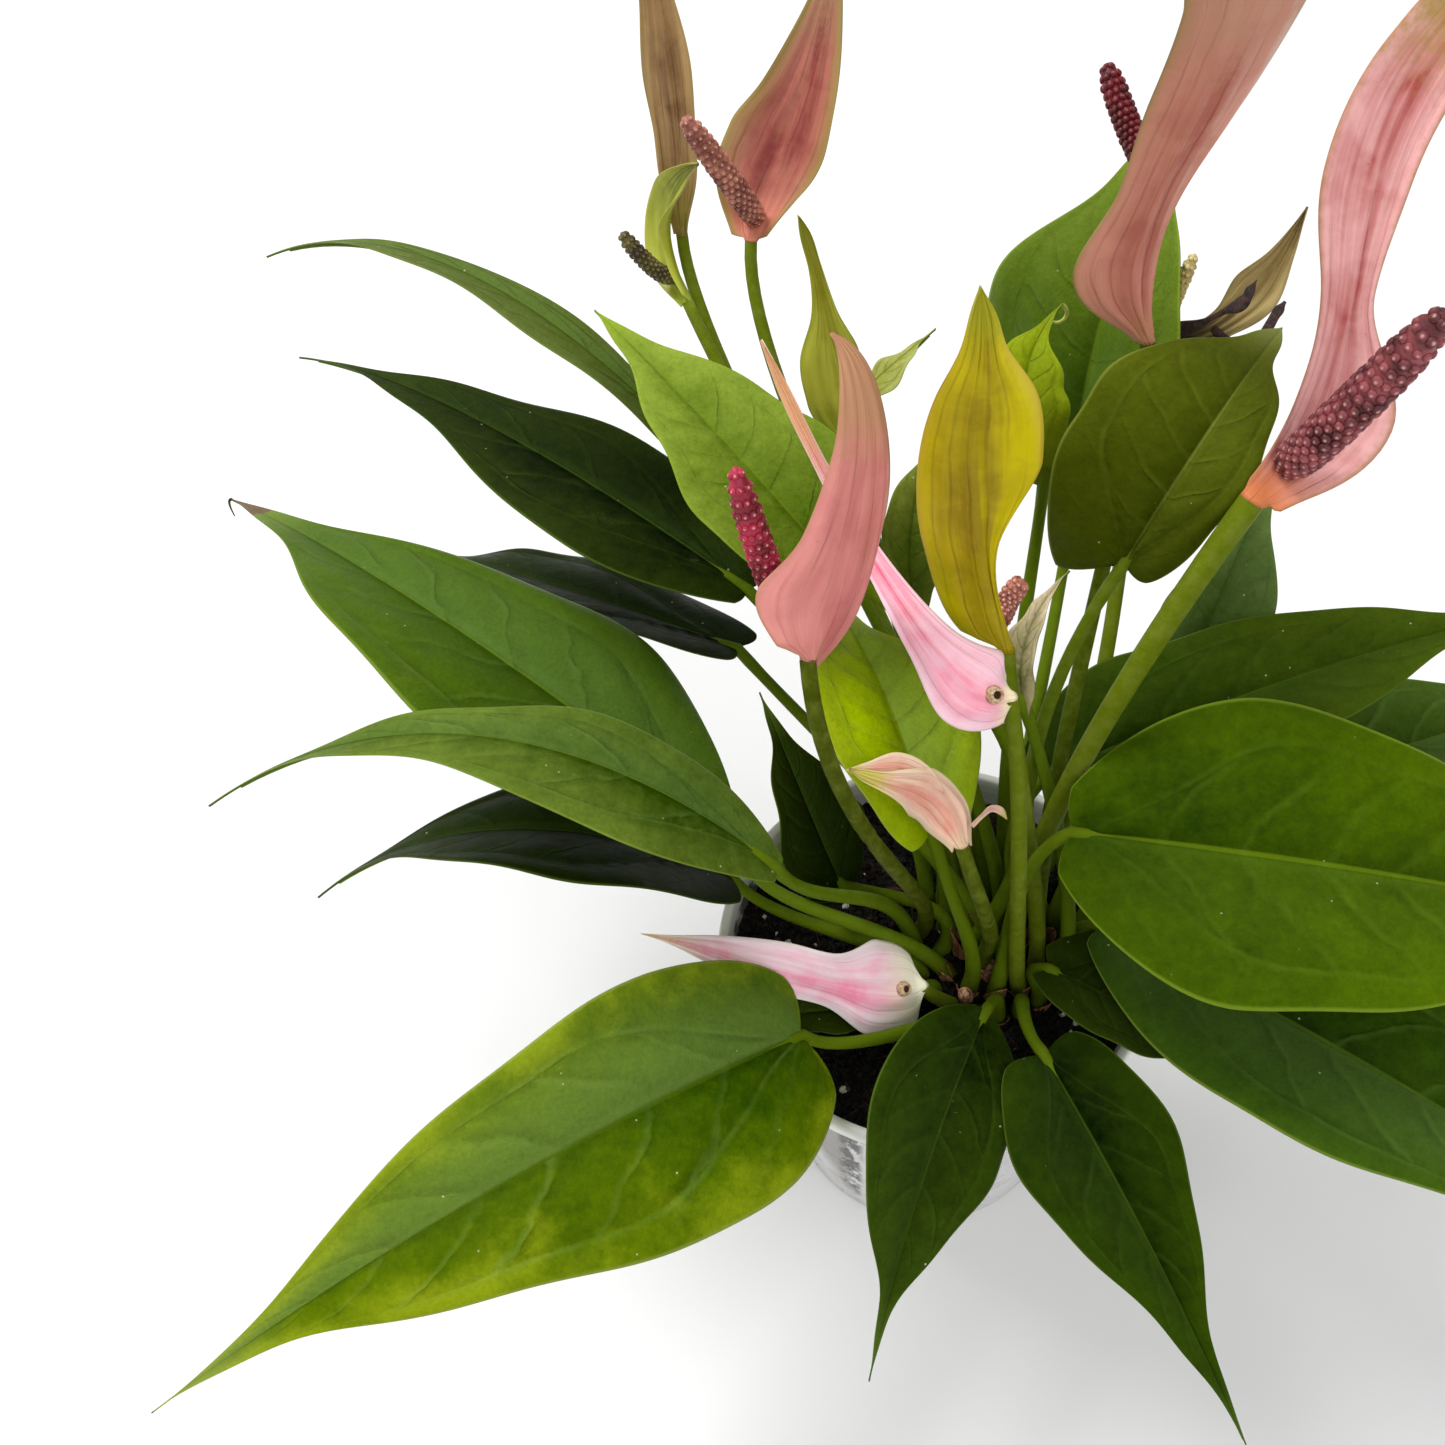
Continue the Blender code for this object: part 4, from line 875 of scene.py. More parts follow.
def grow_leaf(number, spec):
    """Points, faces and values of one leaf: blade, and a petiole that runs on as its rib."""
    base = np.array(spec["base"], float)
    tip = np.array(spec["tip"], float)
    chord = unit(tip - base)
    side = unit(np.cross(chord, UP))
    face = np.cross(side, chord)
    bend = spec["arch"] * face + spec.get("sway", 0) * side + spec.get("lead", 0) * chord
    spine = (base, (base + tip) / 2 + 2 * bend, tip)
    roll = math.radians(spec.get("roll", 0))
    side = math.cos(roll) * side + math.sin(roll) * face
    shares = np.linspace(0, 1, BLADE_ROWS) ** 1.5
    centres, along = curve(spine, shares)
    across = square_to(side, along)
    shape = [spec.get(key, usual) for key, usual in LEAF_SHAPE.items()]
    width = leaf_width(shares, *shape)
    ends = np.minimum(1, np.minimum(shares / 0.12, (1 - shares) / 0.3))
    pinch = 1 - PINCH_DEPTH * bump_at(shares, PINCH_PLACE, PINCH_LENGTH)
    edges = []
    for edge, half in enumerate(spec["halves"]):
        swing = UNEVENNESS * ends * uneven(shares, number + 0.5 * edge)
        edges.append(np.maximum(LEAST_HALF_WIDTH, half * width * pinch + swing))
    u = BLADE_ACROSS[None, :]
    near_base = np.minimum(1, width / leaf_width(np.array([0.02]), *shape))
    sweep = np.maximum(0, 1 - shares / LOBE_SHARE) ** 2 * near_base
    lobes = spec.get("lobes", LEAF_LOBES)
    sweep = sweep[:, None] * np.where(u < 0, lobes[0], lobes[1]) * u * u
    ripple = np.sin(math.tau * (LEAF_WAVES * shares[:, None]) + 1.7 * np.sign(u))
    lift = LEAF_WAVE_HEIGHT * np.abs(u) ** 3 * ripple * width[:, None]
    lift = lift + vein_relief(shares[:, None], u, VEIN_DEPTH * edges[0][:, None])
    thickness = (MARGIN_THICKNESS + MIDDLE_THICKNESS * (1 - np.abs(u) ** 4)) * np.ones((BLADE_ROWS, 1))
    cup = np.full(BLADE_ROWS, LEAF_CUP)
    shell, values, below = blade_shell(centres, across, np.cross(across, along), along, *edges, LEAF_FOLD,
                                       cup, sweep, lift, thickness, BLADE_ACROSS)
    count = shell.shape[1]
    faces, end_faces = blade_faces(BLADE_ROWS, count)
    for k, end_face in enumerate(end_faces):
        faces += [(count - 1 - k, count - 2 - k, k + 1, k), end_face]

    entry = unit(unit(spine[1] - base) + LEAF_UPTURN * UP)
    distance = np.linalg.norm(base[:2] - CROWN_CENTRE) + base[2] - MIX_TOP
    steps = np.linspace(0, 1, PETIOLE_ROWS)
    line, heading = stem_line(spec, base, entry, 0.3 * distance, 0.25 * distance, steps)
    rib_shares = np.linspace(0.03, 0.93, RIB_ROWS)
    rib_line, rib_heading = curve(spine, rib_shares)
    rib_up = np.cross(square_to(side, rib_heading), rib_heading)
    rib_radii = PETIOLE_TOP_RADIUS * (1 - rib_shares) ** 0.8 + 0.1
    sink = np.minimum(1, rib_shares / 0.07) * (0.45 + 0.72 * rib_radii)
    line = np.vstack((line, rib_line - sink[:, None] * rib_up))
    radii = np.append(stem_radii(PETIOLE_TOP_RADIUS, steps, PETIOLE_KNEE), rib_radii)
    rings = tube(line, np.vstack((heading, rib_heading)), side, radii, PETIOLE_SIDES)
    start = BLADE_ROWS * count
    faces += ring_faces(len(rings), PETIOLE_SIDES, start=start)
    points = np.vstack((shell.reshape(-1, 3), rings.reshape(-1, 3)))
    none = np.zeros(len(points) - start)
    held = {"across": np.append(values, none), "along": np.append(np.repeat(shares, count), none),
            "under": np.append(below, none), "stem": np.append(np.zeros(start), none + 1)}
    return points, faces, held


for number, (name, spec) in enumerate(LEAVES.items()):
    finish = leaf_finish(f"leaf_{name}_finish", spec["skin"], spec["greens"], STEM_GREEN, 37.0 * number,
                         spec.get("dry", DRY_TIP))
    points, faces, held = grow_leaf(number, spec)
    leaf = mesh_piece(name + "_leaf", points, faces, finish, held)
    settle(leaf, "leaf", "leaf_" + name)

# The curled leaf ends in a pale loop, and a dry thread hangs from the tip of the large left leaf.
TIP_ROWS = 30
TIP_SIDES = 8
turns = np.linspace(0, 1, TIP_ROWS)
curl = 1.2 - 5.2 * turns
wound = 2.3 * (1 - 0.5 * turns)
loop = np.stack((wound * np.cos(curl), -1.2 * turns, wound * np.sin(curl)), axis=1)
loop = loop - loop[0] + LEAVES["back_curled"]["tip"] - np.array([0.2, 0.0, 0.6])
thread = curve(((-174.6, 103.7, 145.9), (-176.4, 104.0, 145.6), (-175.6, 103.2, 140.6)), turns)[0]
EXTRA_TIPS = (("curled_loop", loop, 0.5, (206, 216, 112)), ("dry_thread", thread, 0.42, (44, 32, 28)))
for number, (name, line, radius, shade) in enumerate(EXTRA_TIPS):
    finish = leaf_finish(name + "_finish", "bright", LEAVES["back_curled"]["greens"], shade, 5.0 * number)
    along = unit(np.gradient(line, axis=0))
    rings = tube(line, along, np.array([0.1, 1.0, 0.05]), radius * (1 - 0.6 * turns), TIP_SIDES)
    piece = tube_piece(name, [rings], finish, {"stem": np.ones(TIP_ROWS * TIP_SIDES)})
    settle(piece, "leaf")


# The blooms
# Each bloom is a round green stalk with one waxy spathe at its top, cupped and drawn out to a point,
# and a spadix on the spathe's inner face. Old spathes have turned green, bronze or papery tan.
# Each bloom: where its stem stands, four points that the spathe's midrib passes through, how far the
# stem leans aside, its radius at the top (stalk) and the share of its height that it climbs straight
# before it bends (rise), the way the spathe's inner side faces at the base and at the tip, its six
# half widths on the left and, where they differ, on the right as seen from that side, how far it is
# cupped at the base and at the tip, in degrees, and the green of its stem.
BLOOMS = {
    # The front and young stalks have darker stem greens, which are painted shade.
    "front": dict(stand=("outer", 9),
        points=((-27, -6, 202), (-21, 5, 215), (-17, 13, 236), (-21, 22, 250)), lean=(8, -6), rise=0.25,
        facing=((-0.4, 0.85, 0.0), (-0.4, 0.85, 0.1)), left=(8, 14.5, 12, 8.5, 4.5, 1.5),
        right=(8, 13.5, 7.5, 4.5, 3, 1), cup=(50, 30), stem=(70, 80, 6)),
    "second": dict(stand=("middle", 10),
        points=((10, -5, 188), (-2, 1, 194), (-17, 25, 203), (-34, 55, 225)), lean=(-6, -12),
        facing=((0.1, -0.6, 0.8), (0.2, -0.6, 0.7)), left=(6, 9.5, 5, 2.5, 1.5, 1), cup=(-50, -20)),
    # The young stalk's darker stem green is painted shade.
    "young": dict(stand=("inner", 4),
        points=((2, -15, 154), (-3, -7, 159), (-10, -6, 163), (-20, -3, 165)), lean=(3, -1),
        facing=((0.1, -0.6, 0.8), (0.1, -0.6, 0.8)), left=(3, 6, 6, 4, 2, 1), cup=(-60, -20),
        stem=(72, 84, 6)),
    "tall": dict(stand=("middle", 0), points=((42, 61, 217), (39, 64, 243), (45, 59, 272), (43, 47, 302)),
        lean=(-7, 3), facing=((-0.4, 0.8, 0.2), (-0.2, 0.9, 0.2)), left=(3, 7, 9, 13, 14, 10),
        right=(3, 13, 8, 9.5, 10.5, 8), cup=(50, 20), stem=(76, 92, 6)),
    "bronze": dict(stand=("middle", 11), points=((12, 13, 181), (4, 15, 219), (2, 9, 248), (0, 3, 271)),
        lean=(-1, -4), facing=((0.1, 0.9, 0.2), (0.1, 0.9, 0.1)), left=(1, 2.5, 12, 10, 3.5, 1.5),
        right=(12, 13, 11, 7.5, 3.5, 1.5), cup=(50, 20)),
    "right": dict(stand=("inner", 0), points=((57, 25, 207), (76, 50, 226), (80, 67, 255), (102, 77, 282)),
        lean=(-5, -2), stalk=2.6, facing=((0.1, -0.6, 0.7), (-0.2, -0.8, 0.4)), left=(4, 6, 6.5, 10, 8, 5),
        right=(6, 14, 4, 6.5, 8, 6), cup=(20, 25)),
    "low": dict(stand=("outer", 13),
        points=((-4, -16, 97), (-21, -19, 105), (-42, -15, 110), (-68, -7, 110)), lean=(0, -2),
        facing=((0.0, -0.5, 0.85), (0.0, -0.5, 0.85)), left=(10, 12, 6.5, 6, 3.4, 0.8), cup=(-50, -20)),
    "dried": dict(stand=("outer", 3), points=((50, 88, 198), (62, 83, 203), (71, 84, 214), (76, 85, 230)),
        lean=(21, 10), facing=((-0.3, -0.6, 0.6), (-0.3, -0.6, 0.6)), left=(2, 2.5, 3.5, 5.5, 2.5, 0.8),
        cup=(50, 20)),
    "upper_left": dict(stand=("outer", 5),
        points=((-38, 127, 200), (-31, 141, 212), (-23, 150, 228), (-15, 170, 252)),
        facing=((-0.3, -0.6, 0.6), (-0.3, -0.7, 0.4)), left=(6, 13, 14, 10, 5.5, 2),
        right=(6, 11, 13, 10, 5.5, 2), cup=(50, 20)),
    "hood": dict(stand=("outer", 7),
        points=((-55, 131, 181), (-60, 146, 190), (-57, 147, 202), (-50, 139, 213)), lean=(7, -6),
        facing=((-0.8, -0.3, 0.2), (-0.8, -0.3, -0.2)), left=(3, 7, 8, 6, 3, 1), right=(3, 5, 6, 5, 3, 1),
        cup=(70, 50)),
    "tan": dict(stand=("outer", 6),
        points=((-56, 146, 190), (-56, 160, 205), (-57, 171, 222), (-62, 194, 245)),
        facing=((-0.2, -0.7, 0.5), (-0.2, -0.7, 0.5)), left=(2.5, 5, 6, 7, 5, 2.5),
        right=(2, 6, 6.5, 7, 5, 2.5), cup=(60, 40)),
    "closed": dict(stand=("inner", 2),
        points=((-17, 66, 190), (-20, 70, 205), (-22, 73, 221), (-26, 74, 239)),
        facing=((0.1, -0.7, 0.5), (0.1, -0.7, 0.5)), left=(4, 7.5, 7, 3, 1.5, 1), cup=(-60, -30)),
}
# The slot of each spathe that is not pink. The two green ones are one solid with their stalks.
SPATHE_SLOTS = {"bronze": "spathe_bronze", "dried": "spathe_tan", "tan": "spathe_tan", "hood": "leaf",
                "closed": "leaf"}

# Each spadix: its tip and radius, the look of its florets, where on the spathe it is seated (a share of
# the spathe's length) and how far it rises straight off the spathe before it bends to the tip.
SPADICES = {
    "front": dict(tip=(-38, 11, 232), radius=2.8, look="crimson"),
    "tall": dict(tip=(31, 83, 262), radius=2.5, look="maroon", seat=0.4, lift=10),
    "bronze": dict(tip=(15, 21, 192), radius=2.3, look="rose", seat=0.05, lift=6),
    "right": dict(tip=(79, 22, 250), radius=4.2, look="purple"),
    "upper_left": dict(tip=(-51, 129, 230), radius=3.0, look="rose"),
    "hood": dict(tip=(-70, 139, 196), radius=2.2, look="dark", seat=0.12, lift=5),
    "dried": dict(tip=(55, 84, 221), radius=1.8, look="old", seat=0.06, lift=4),
}

STUBS = ("second", "low")
SPATHE_MARGIN = 0.2
SPATHE_BODY = 0.5
SPATHE_RIB = 1.0
RIB_SHARE = 0.12
STALK_GREEN = (100, 116, 14)
PEDUNCLE_TOP_RADIUS = 1.5
BLOOM_UPTURN = 1.2
STALK_ROWS = 30
STALK_SIDES = 14
STALK_RISE = 0.35
NECK_ROWS = 14
NECK_END = 0.14
SPATHE_ROWS = 72
SPATHE_ACROSS = np.linspace(-1, 1, 25)
SPATHE_WAVE_HEIGHT = 0.5
SPATHE_WAVES = 2.0
SPATHE_FOLD_HEIGHT = 0.4
SPATHE_LOBE = 2.5
NECK_SHARE = 0.03
WIDTH_STATIONS = np.array([0, 0.05, 0.2, 0.4, 0.6, 0.8, 0.94, 1.0])

# The looks of each spathe: the colours at its heart, over its body and in its flushes, at its tip, along
# its margin and on its back, how far the heart's colour spreads, where the tip's colour starts, how
# dark the veins are and where across its half width the margin's colour starts.
SPATHE_COLOURS = ("heart", "body", "deep", "tip", "rim", "back")
SPATHE_MEASURES = ("spread", "reach", "veins", "edge")
SPATHE_SKINS = {
    "front": ((215, 134, 126), (222, 167, 149), (187, 87, 90), (202, 148, 112), (193, 141, 99),
        (228, 146, 140), 0.1, 0.66, 0.2, 0.86),
    "second": ((255, 240, 196), (255, 212, 226), (248, 116, 148), (240, 180, 130), (255, 228, 226),
        (250, 176, 186), 0.08, 0.8, 0.1, 0.86),
    "young": ((231, 198, 165), (240, 207, 184), (229, 154, 135), (207, 192, 94), (231, 217, 160),
        (173, 182, 47), 0.1, 0.78, 0.1, 0.8),
    "tall": ((206, 140, 107), (222, 158, 141), (164, 76, 64), (198, 140, 117), (174, 148, 89),
        (215, 146, 126), 0.12, 0.7, 0.3, 0.8),
    "bronze": ((171, 151, 5), (204, 161, 90), (128, 101, 0), (165, 165, 16), (215, 184, 64),
        (217, 200, 3), 0.1, 0.86, 0.25, 0.8),
    "right": ((220, 130, 83), (255, 192, 190), (178, 60, 58), (180, 153, 72), (180, 126, 69),
        (217, 149, 119), 0.12, 0.84, 0.1, 0.82),
    # The low spathe's colours are set paler than its own, close to white, as painted light that makes up for
    # the shade the plant casts on it.
    "low": ((255, 250, 220), (255, 228, 238), (255, 146, 178), (248, 226, 180), (255, 246, 234),
        (250, 196, 204), 0.24, 0.92, 0.1, 0.8),
    "dried": ((30, 22, 14), (206, 184, 124), (160, 138, 84), (120, 98, 62), (180, 160, 106),
        (196, 172, 114), 0.62, 0.93, 0.3, 0.8),
    "upper_left": ((216, 132, 112), (188, 114, 98), (138, 54, 54), (164, 116, 88), (150, 138, 66),
        (157, 92, 75), 0.24, 0.8, 0.2, 0.5),
    "hood": ((150, 166, 20), (190, 196, 76), (120, 128, 8), (130, 124, 40), (186, 186, 80),
        (162, 170, 34), 0.2, 0.9, 0.35, 0.7),
    "tan": ((130, 116, 48), (174, 141, 94), (110, 77, 44), (142, 109, 68), (158, 134, 80), (160, 125, 82),
        0.3, 0.8, 0.4, 0.7),
    "closed": ((155, 167, 35), (189, 190, 65), (136, 134, 15), (146, 146, 38), (173, 173, 61),
        (171, 177, 35), 0.2, 0.8, 0.3, 0.7),
}


def spathe_skin_group():
    """Colour, gloss and relief of a spathe from its values across, along and under."""
    inputs = (("Color", *SPATHE_COLOURS), ("Float", *SPATHE_MEASURES, "shift"))
    tree, given = new_tree("spathe_skin", "ShaderNodeTree", inputs, SKIN_OUTPUTS)
    place = shifted_place(tree, given["shift"])
    across, along, under = held_values(tree, "across", "along", "under")
    out = abs(across)

    def streaks(width, length, detail):
        """Random streaks that run the length of the spathe, fanning out with it."""
        sockets = {0: across * (1 / width), 1: along / length, 2: given["shift"]}
        return grain(worked(tree, "ShaderNodeCombineXYZ", 0, sockets), 1.0, detail, 0.6, 0.3)

    wander = (grain(place, 16, 3) - 0.5) * 0.2
    near = abs(fraction((across + wander) * 3.5) - 0.5)
    veins = ramp(near, 0.0, 0.14, 1, 0) * ramp(out, 0.7, 0.95, 1, 0) * ramp(streaks(0.5, 0.5, 2), 0.35, 0.6)
    soft = ramp(grain(place, 9, 4, 0.55, 0.5), 0.35, 0.7)
    fine = grain(place, 1.6, 4, 0.6)
    fibres = streaks(0.06, 0.6, 3) - 0.5
    bands = ramp(streaks(0.55, 0.7, 3), 0.34, 0.64)
    flush = (0.3 + bands * 0.7) * ramp(out, 0.1, 1.0, 1, 0)
    flush = clamped(flush + fibres * 0.5 + (soft - 0.5) * 0.35)
    inner = mix(flush, given["body"], given["deep"])
    colour = mix(under, inner, mix(flush * 0.75, given["back"], given["deep"]))
    colour = mix(veins * given["veins"], colour, given["deep"], "MULTIPLY")
    colour = mix(ramp(along / given["spread"], 0.1, 1.0, 1, 0), colour, given["heart"])
    ragged = along + (fine - 0.5) * 0.2
    colour = mix(ramp(ragged - given["reach"], -0.12, 0.1), colour, given["tip"])
    rim = ramp(out + (fine - 0.5) * 0.12, given["edge"], 1.04)
    colour = mix(rim * 0.8, colour, given["rim"])
    dots = specks(place, 0.3, 0.03, 0.06) * ramp(fine, 0.5, 0.6)
    colour = mix(dots * 0.5, colour, tint(96, 60, 40))
    colour = mix(ramp(fine, 0.35, 0.7) * 0.1, colour, given["rim"])
    give_out(tree, colour, ramp(soft, 0, 1, 0.36, 0.5), veins * -0.4 + fine * 0.2 + fibres * 0.4)
    return tree


SPATHE_SKIN = spathe_skin_group()


def spathe_finish(name, skin, shift):
    """The finish of one spathe from its looks."""
    looks = dict(zip((*SPATHE_COLOURS, *SPATHE_MEASURES), SPATHE_SKINS[skin]), shift=shift)
    return skin_finish(name, SPATHE_SKIN, looks, 0.3, 0.2)[0]


def spathe_frame(spec, shares):
    """Midrib points, sides, inner faces and directions of a spathe."""
    p0, p1, p2, p3 = [np.array(point, float) for point in spec["points"]]
    first = (-5 * p0 + 18 * p1 - 9 * p2 + 2 * p3) / 6
    second = (2 * p0 - 9 * p1 + 18 * p2 - 5 * p3) / 6
    centres, along = curve((p0, first, second, p3), shares)
    v = np.asarray(shares, float)[:, None]
    facing = (1 - v) * np.array(spec["facing"][0]) + v * np.array(spec["facing"][1])
    face = square_to(facing, along)
    return centres, np.cross(along, face), face, along


def spathe_spot(spec, share):
    """Point, side, inner face and direction at one share of a spathe's length."""
    return [found[0] for found in spathe_frame(spec, [share])]


def smooth_between(shares, stations, values):
    """Values that pass smoothly through the stations without overshooting them much."""
    values = np.asarray(values, float)
    slopes = np.gradient(values, stations)
    slopes[1:-1][(values[2:] - values[1:-1]) * (values[1:-1] - values[:-2]) <= 0] = 0
    k = np.clip(np.searchsorted(stations, shares, side="right") - 1, 0, len(stations) - 2)
    gap = stations[k + 1] - stations[k]
    t = (shares - stations[k]) / gap
    return ((2 * t**3 - 3 * t**2 + 1) * values[k] + (t**3 - 2 * t**2 + t) * gap * slopes[k]
            + (3 * t**2 - 2 * t**3) * values[k + 1] + (t**3 - t**2) * gap * slopes[k + 1])


def grow_spathe(spec, entry):
    """Points, faces and values of one spathe, from a round neck to its tip."""
    shares = np.concatenate((np.linspace(0, NECK_END, NECK_ROWS)[:-1],
                             np.linspace(NECK_END, 1, SPATHE_ROWS + 1 - NECK_ROWS)))
    centres, side, face, along = spathe_frame(spec, shares)
    radius = spec.get("stalk", PEDUNCLE_TOP_RADIUS)
    roots = WIDTH_STATIONS ** 0.5
    left, right = [np.maximum(0.15, smooth_between(shares ** 0.5, roots, (radius, *halves, 0.15)))
                   for halves in (spec["left"], spec.get("right", spec["left"]))]
    cup = np.radians(spec["cup"][0] * (1 - shares) + spec["cup"][1] * shares)
    u = SPATHE_ACROSS[None, :]
    rows = shares[:, None]
    ripple = np.sin(math.tau * (SPATHE_WAVES * rows) + 1.3 * np.sign(u))
    lift = SPATHE_WAVE_HEIGHT * np.abs(u) ** 3 * ripple * np.minimum(1, rows / 0.2)
    folds = np.cos(math.tau * (2.2 * u + 0.25 * np.sin(5 * rows) + 0.1 * spec["stand"][1]))
    lift = lift + SPATHE_FOLD_HEIGHT * folds * (np.minimum(1, rows / 0.15) * (1 - rows) ** 0.5)
    rib = SPATHE_RIB * bump_at(u, 0, RIB_SHARE) * (1 - rows) ** 2
    thickness = (SPATHE_MARGIN + SPATHE_BODY * (1 - np.abs(u) ** 4)) + rib
    sweep = SPATHE_LOBE * (np.maximum(0, 1 - rows / LOBE_SHARE) ** 2 * np.minimum(1, rows / 0.03)) * u * u
    shell, values, below = blade_shell(centres, side, face, along, left, right, 0.0, cup, sweep, lift,
                                       thickness, SPATHE_ACROSS)
    count = shell.shape[1]
    neck = tube(centres[:1], entry[None, :], side[0], [radius], count)[0]
    neck = neck + (centres - centres[0])[:, None, :]
    share = eased(shares, 0, NECK_SHARE)[:, None, None]
    shell = (1 - share) * neck + share * shell
    faces, end_faces = blade_faces(SPATHE_ROWS, count)
    faces += [tuple(reversed(range(count))), *end_faces]
    held = {"across": values, "along": np.repeat(shares, count), "under": below,
            "stem": np.zeros(SPATHE_ROWS * count)}
    return shell.reshape(-1, 3), faces, held


def grow_stalk(spec, top, side, entry, height):
    """Rings and values of one bloom's stalk."""
    steps = np.linspace(0, 1, STALK_ROWS)
    line, heading = stem_line(spec, top, entry, spec.get("rise", STALK_RISE) * height, 0.3 * height, steps)
    radii = stem_radii(spec.get("stalk", PEDUNCLE_TOP_RADIUS), steps)
    rings = tube(line, heading, side, radii, STALK_SIDES)
    none = np.zeros(rings.shape[:2])
    along = np.repeat(np.append(0, steps), STALK_SIDES)
    held = {"across": none, "along": along, "under": none, "stem": none + 1}
    return rings, held


def spadix_tree():
    """A tree that sets one rounded floret with a pale crest on every point of a guide."""
    inputs = (("Geometry", "Guide"), ("Float", "Width", "Height"), ("Int", "Seed"), ("Material", "Finish"))
    tree, given = new_tree("florets", "GeometryNodeTree", inputs, (("Geometry", "Florets"),))
    ball = worked(tree, "GeometryNodeMeshUVSphere", 0, {"Segments": 8, "Rings": 5, "Radius": 0.5})
    high = worked(tree, "ShaderNodeSeparateXYZ", "Z", {0: worked(tree, "GeometryNodeInputPosition", 0)})
    crest = worked(tree, "ShaderNodeMapRange", "Result", {"Value": high, "From Min": 0.3, "From Max": 0.5})
    marked = worked(tree, "GeometryNodeStoreNamedAttribute", 0,
                    {"Geometry": ball, "Name": "crest", "Value": crest}, data_type="FLOAT", domain="POINT")
    wide = worked(tree, "ShaderNodeCombineXYZ", 0, {0: given["Width"], 1: given["Width"], 2: given["Height"]})
    shaped = worked(tree, "GeometryNodeTransform", 0, {"Geometry": marked, "Scale": wide})
    normal = worked(tree, "GeometryNodeInputNamedAttribute", 0, {"Name": "outward"}, data_type="FLOAT_VECTOR")
    turn = worked(tree, "FunctionNodeAlignRotationToVector", 0, {"Vector": normal}, axis="Z")
    size = worked(tree, "FunctionNodeRandomValue", 1, {2: 0.86, 3: 1.12, "Seed": given["Seed"]},
                  data_type="FLOAT")
    give_copies(tree, given["Guide"], shaped, turn, size, given["Finish"])
    return tree


SPADIX_TREE = spadix_tree()
# A spadix's width along its length, as a share of its radius, from its foot to its tip.
SPADIX_SHARES = (0.0, 0.05, 0.16, 0.32, 0.5, 0.7, 0.87, 0.96, 1.0)
SPADIX_WIDTHS = (0.3, 0.8, 0.95, 1.0, 1.0, 0.98, 0.91, 0.68, 0.2)
CORE_SHARE = 0.86
CORE_ROWS = 26
CORE_SIDES = 20
SPADIX_SEAT = 0.08
SPADIX_LIFT = 8
LEAST_PITCH = 0.45
PITCH_SHARE = 0.4
ROW_SHARE = 0.82
FLORET_HEIGHT = 0.7
# The flesh of each kind of spadix, the shade in its patches and the pale crest of its florets.
SPADIX_LOOKS = {
    "crimson": ((186, 36, 70), (116, 10, 30), (244, 176, 170)),
    "maroon": ((118, 10, 26), (80, 0, 10), (176, 84, 94)),
    "purple": ((160, 78, 84), (92, 34, 38), (236, 176, 170)),
    "rose": ((206, 134, 112), (140, 78, 66), (246, 206, 178)),
    "old": ((214, 198, 136), (184, 162, 92), (236, 226, 172)),
    "dark": ((108, 98, 44), (66, 54, 24), (164, 156, 90)),
}


def spadix_finish(name, flesh, shade, crest):
    """The finish of a spadix: fleshy florets in darker and lighter patches, some with a pale crest."""
    finish, shader = new_finish(name)
    place = millimetres(finish.node_tree)
    colour = mix(ramp(grain(place, 5, 3), 0.35, 0.65), tint(*flesh), tint(*shade))
    top = held_values(finish.node_tree, "crest")[0]
    dot = ramp(top, 0.6, 0.95) * ramp(grain(place, 0.9, 2), 0.34, 0.48)
    fine = grain(place, 0.35, 3)
    wire(shader, mix(dot * 0.8, colour, tint(*crest)), ramp(fine, 0, 1, 0.35, 0.6), fine, 0.12)
    return finish


def grow_spadix(name, spathe, spec, finish, seed):
    """A spadix as a core with florets set in alternate rows."""
    seat, face = spathe_spot(spathe, spec.get("seat", SPADIX_SEAT))[::2]
    foot = seat + 0.3 * face
    tip = np.array(spec["tip"], float)
    line = (foot, foot + spec.get("lift", SPADIX_LIFT) * face, tip)
    across = unit(np.cross(tip - foot, face))
    pitch = LEAST_PITCH + PITCH_SHARE * spec["radius"]
    steps = np.linspace(0, 1, CORE_ROWS)
    widths = np.interp(steps, SPADIX_SHARES, SPADIX_WIDTHS)
    core = tube(*curve(line, steps), across, CORE_SHARE * spec["radius"] * widths, CORE_SIDES)
    rows = int(np.linalg.norm(tip - foot) / (ROW_SHARE * pitch))
    shares = (np.arange(rows) + 0.5) / rows
    centres, heading = curve(line, shares)
    radii = spec["radius"] * np.interp(shares, SPADIX_SHARES, SPADIX_WIDTHS)
    sides = square_to(across, heading)
    ups = np.cross(sides, heading)
    spots = []
    outward = []
    for row in range(rows):
        count = max(4, round(math.tau * radii[row] / pitch))
        angles = math.tau * (np.arange(count) + 0.5 * (row % 2)) / count
        ways = np.cos(angles)[:, None] * sides[row] + np.sin(angles)[:, None] * ups[row]
        spots.append(centres[row] + CORE_SHARE * radii[row] * ways)
        lean = 0.9 * np.clip((shares[row] - 0.86) / 0.14, 0, 1)
        outward.append(unit(ways + lean * heading[row]))
    guide = mesh_piece(name + "_guide", np.vstack(spots), [], finish)
    held = guide.data.attributes.new("outward", "FLOAT_VECTOR", "POINT")
    held.data.foreach_set("vector", np.vstack(outward).astype(np.float32).ravel())
    values = {"Width": pitch * MM, "Height": FLORET_HEIGHT * pitch * MM, "Seed": seed, "Finish": finish}
    florets = grown(name + "_florets", guide, SPADIX_TREE, values, finish)
    bpy.data.objects.remove(guide)
    body = tube_piece(name, [core], finish)
    body.data.attributes.new("crest", "FLOAT", "POINT")
    with bpy.context.temp_override(active_object=body, selected_editable_objects=[body, florets]):
        bpy.ops.object.join()
    body.data.shade_smooth()
    return body


spadix_finishes = {look: spadix_finish("spadix_" + look, *shades) for look, shades in SPADIX_LOOKS.items()}

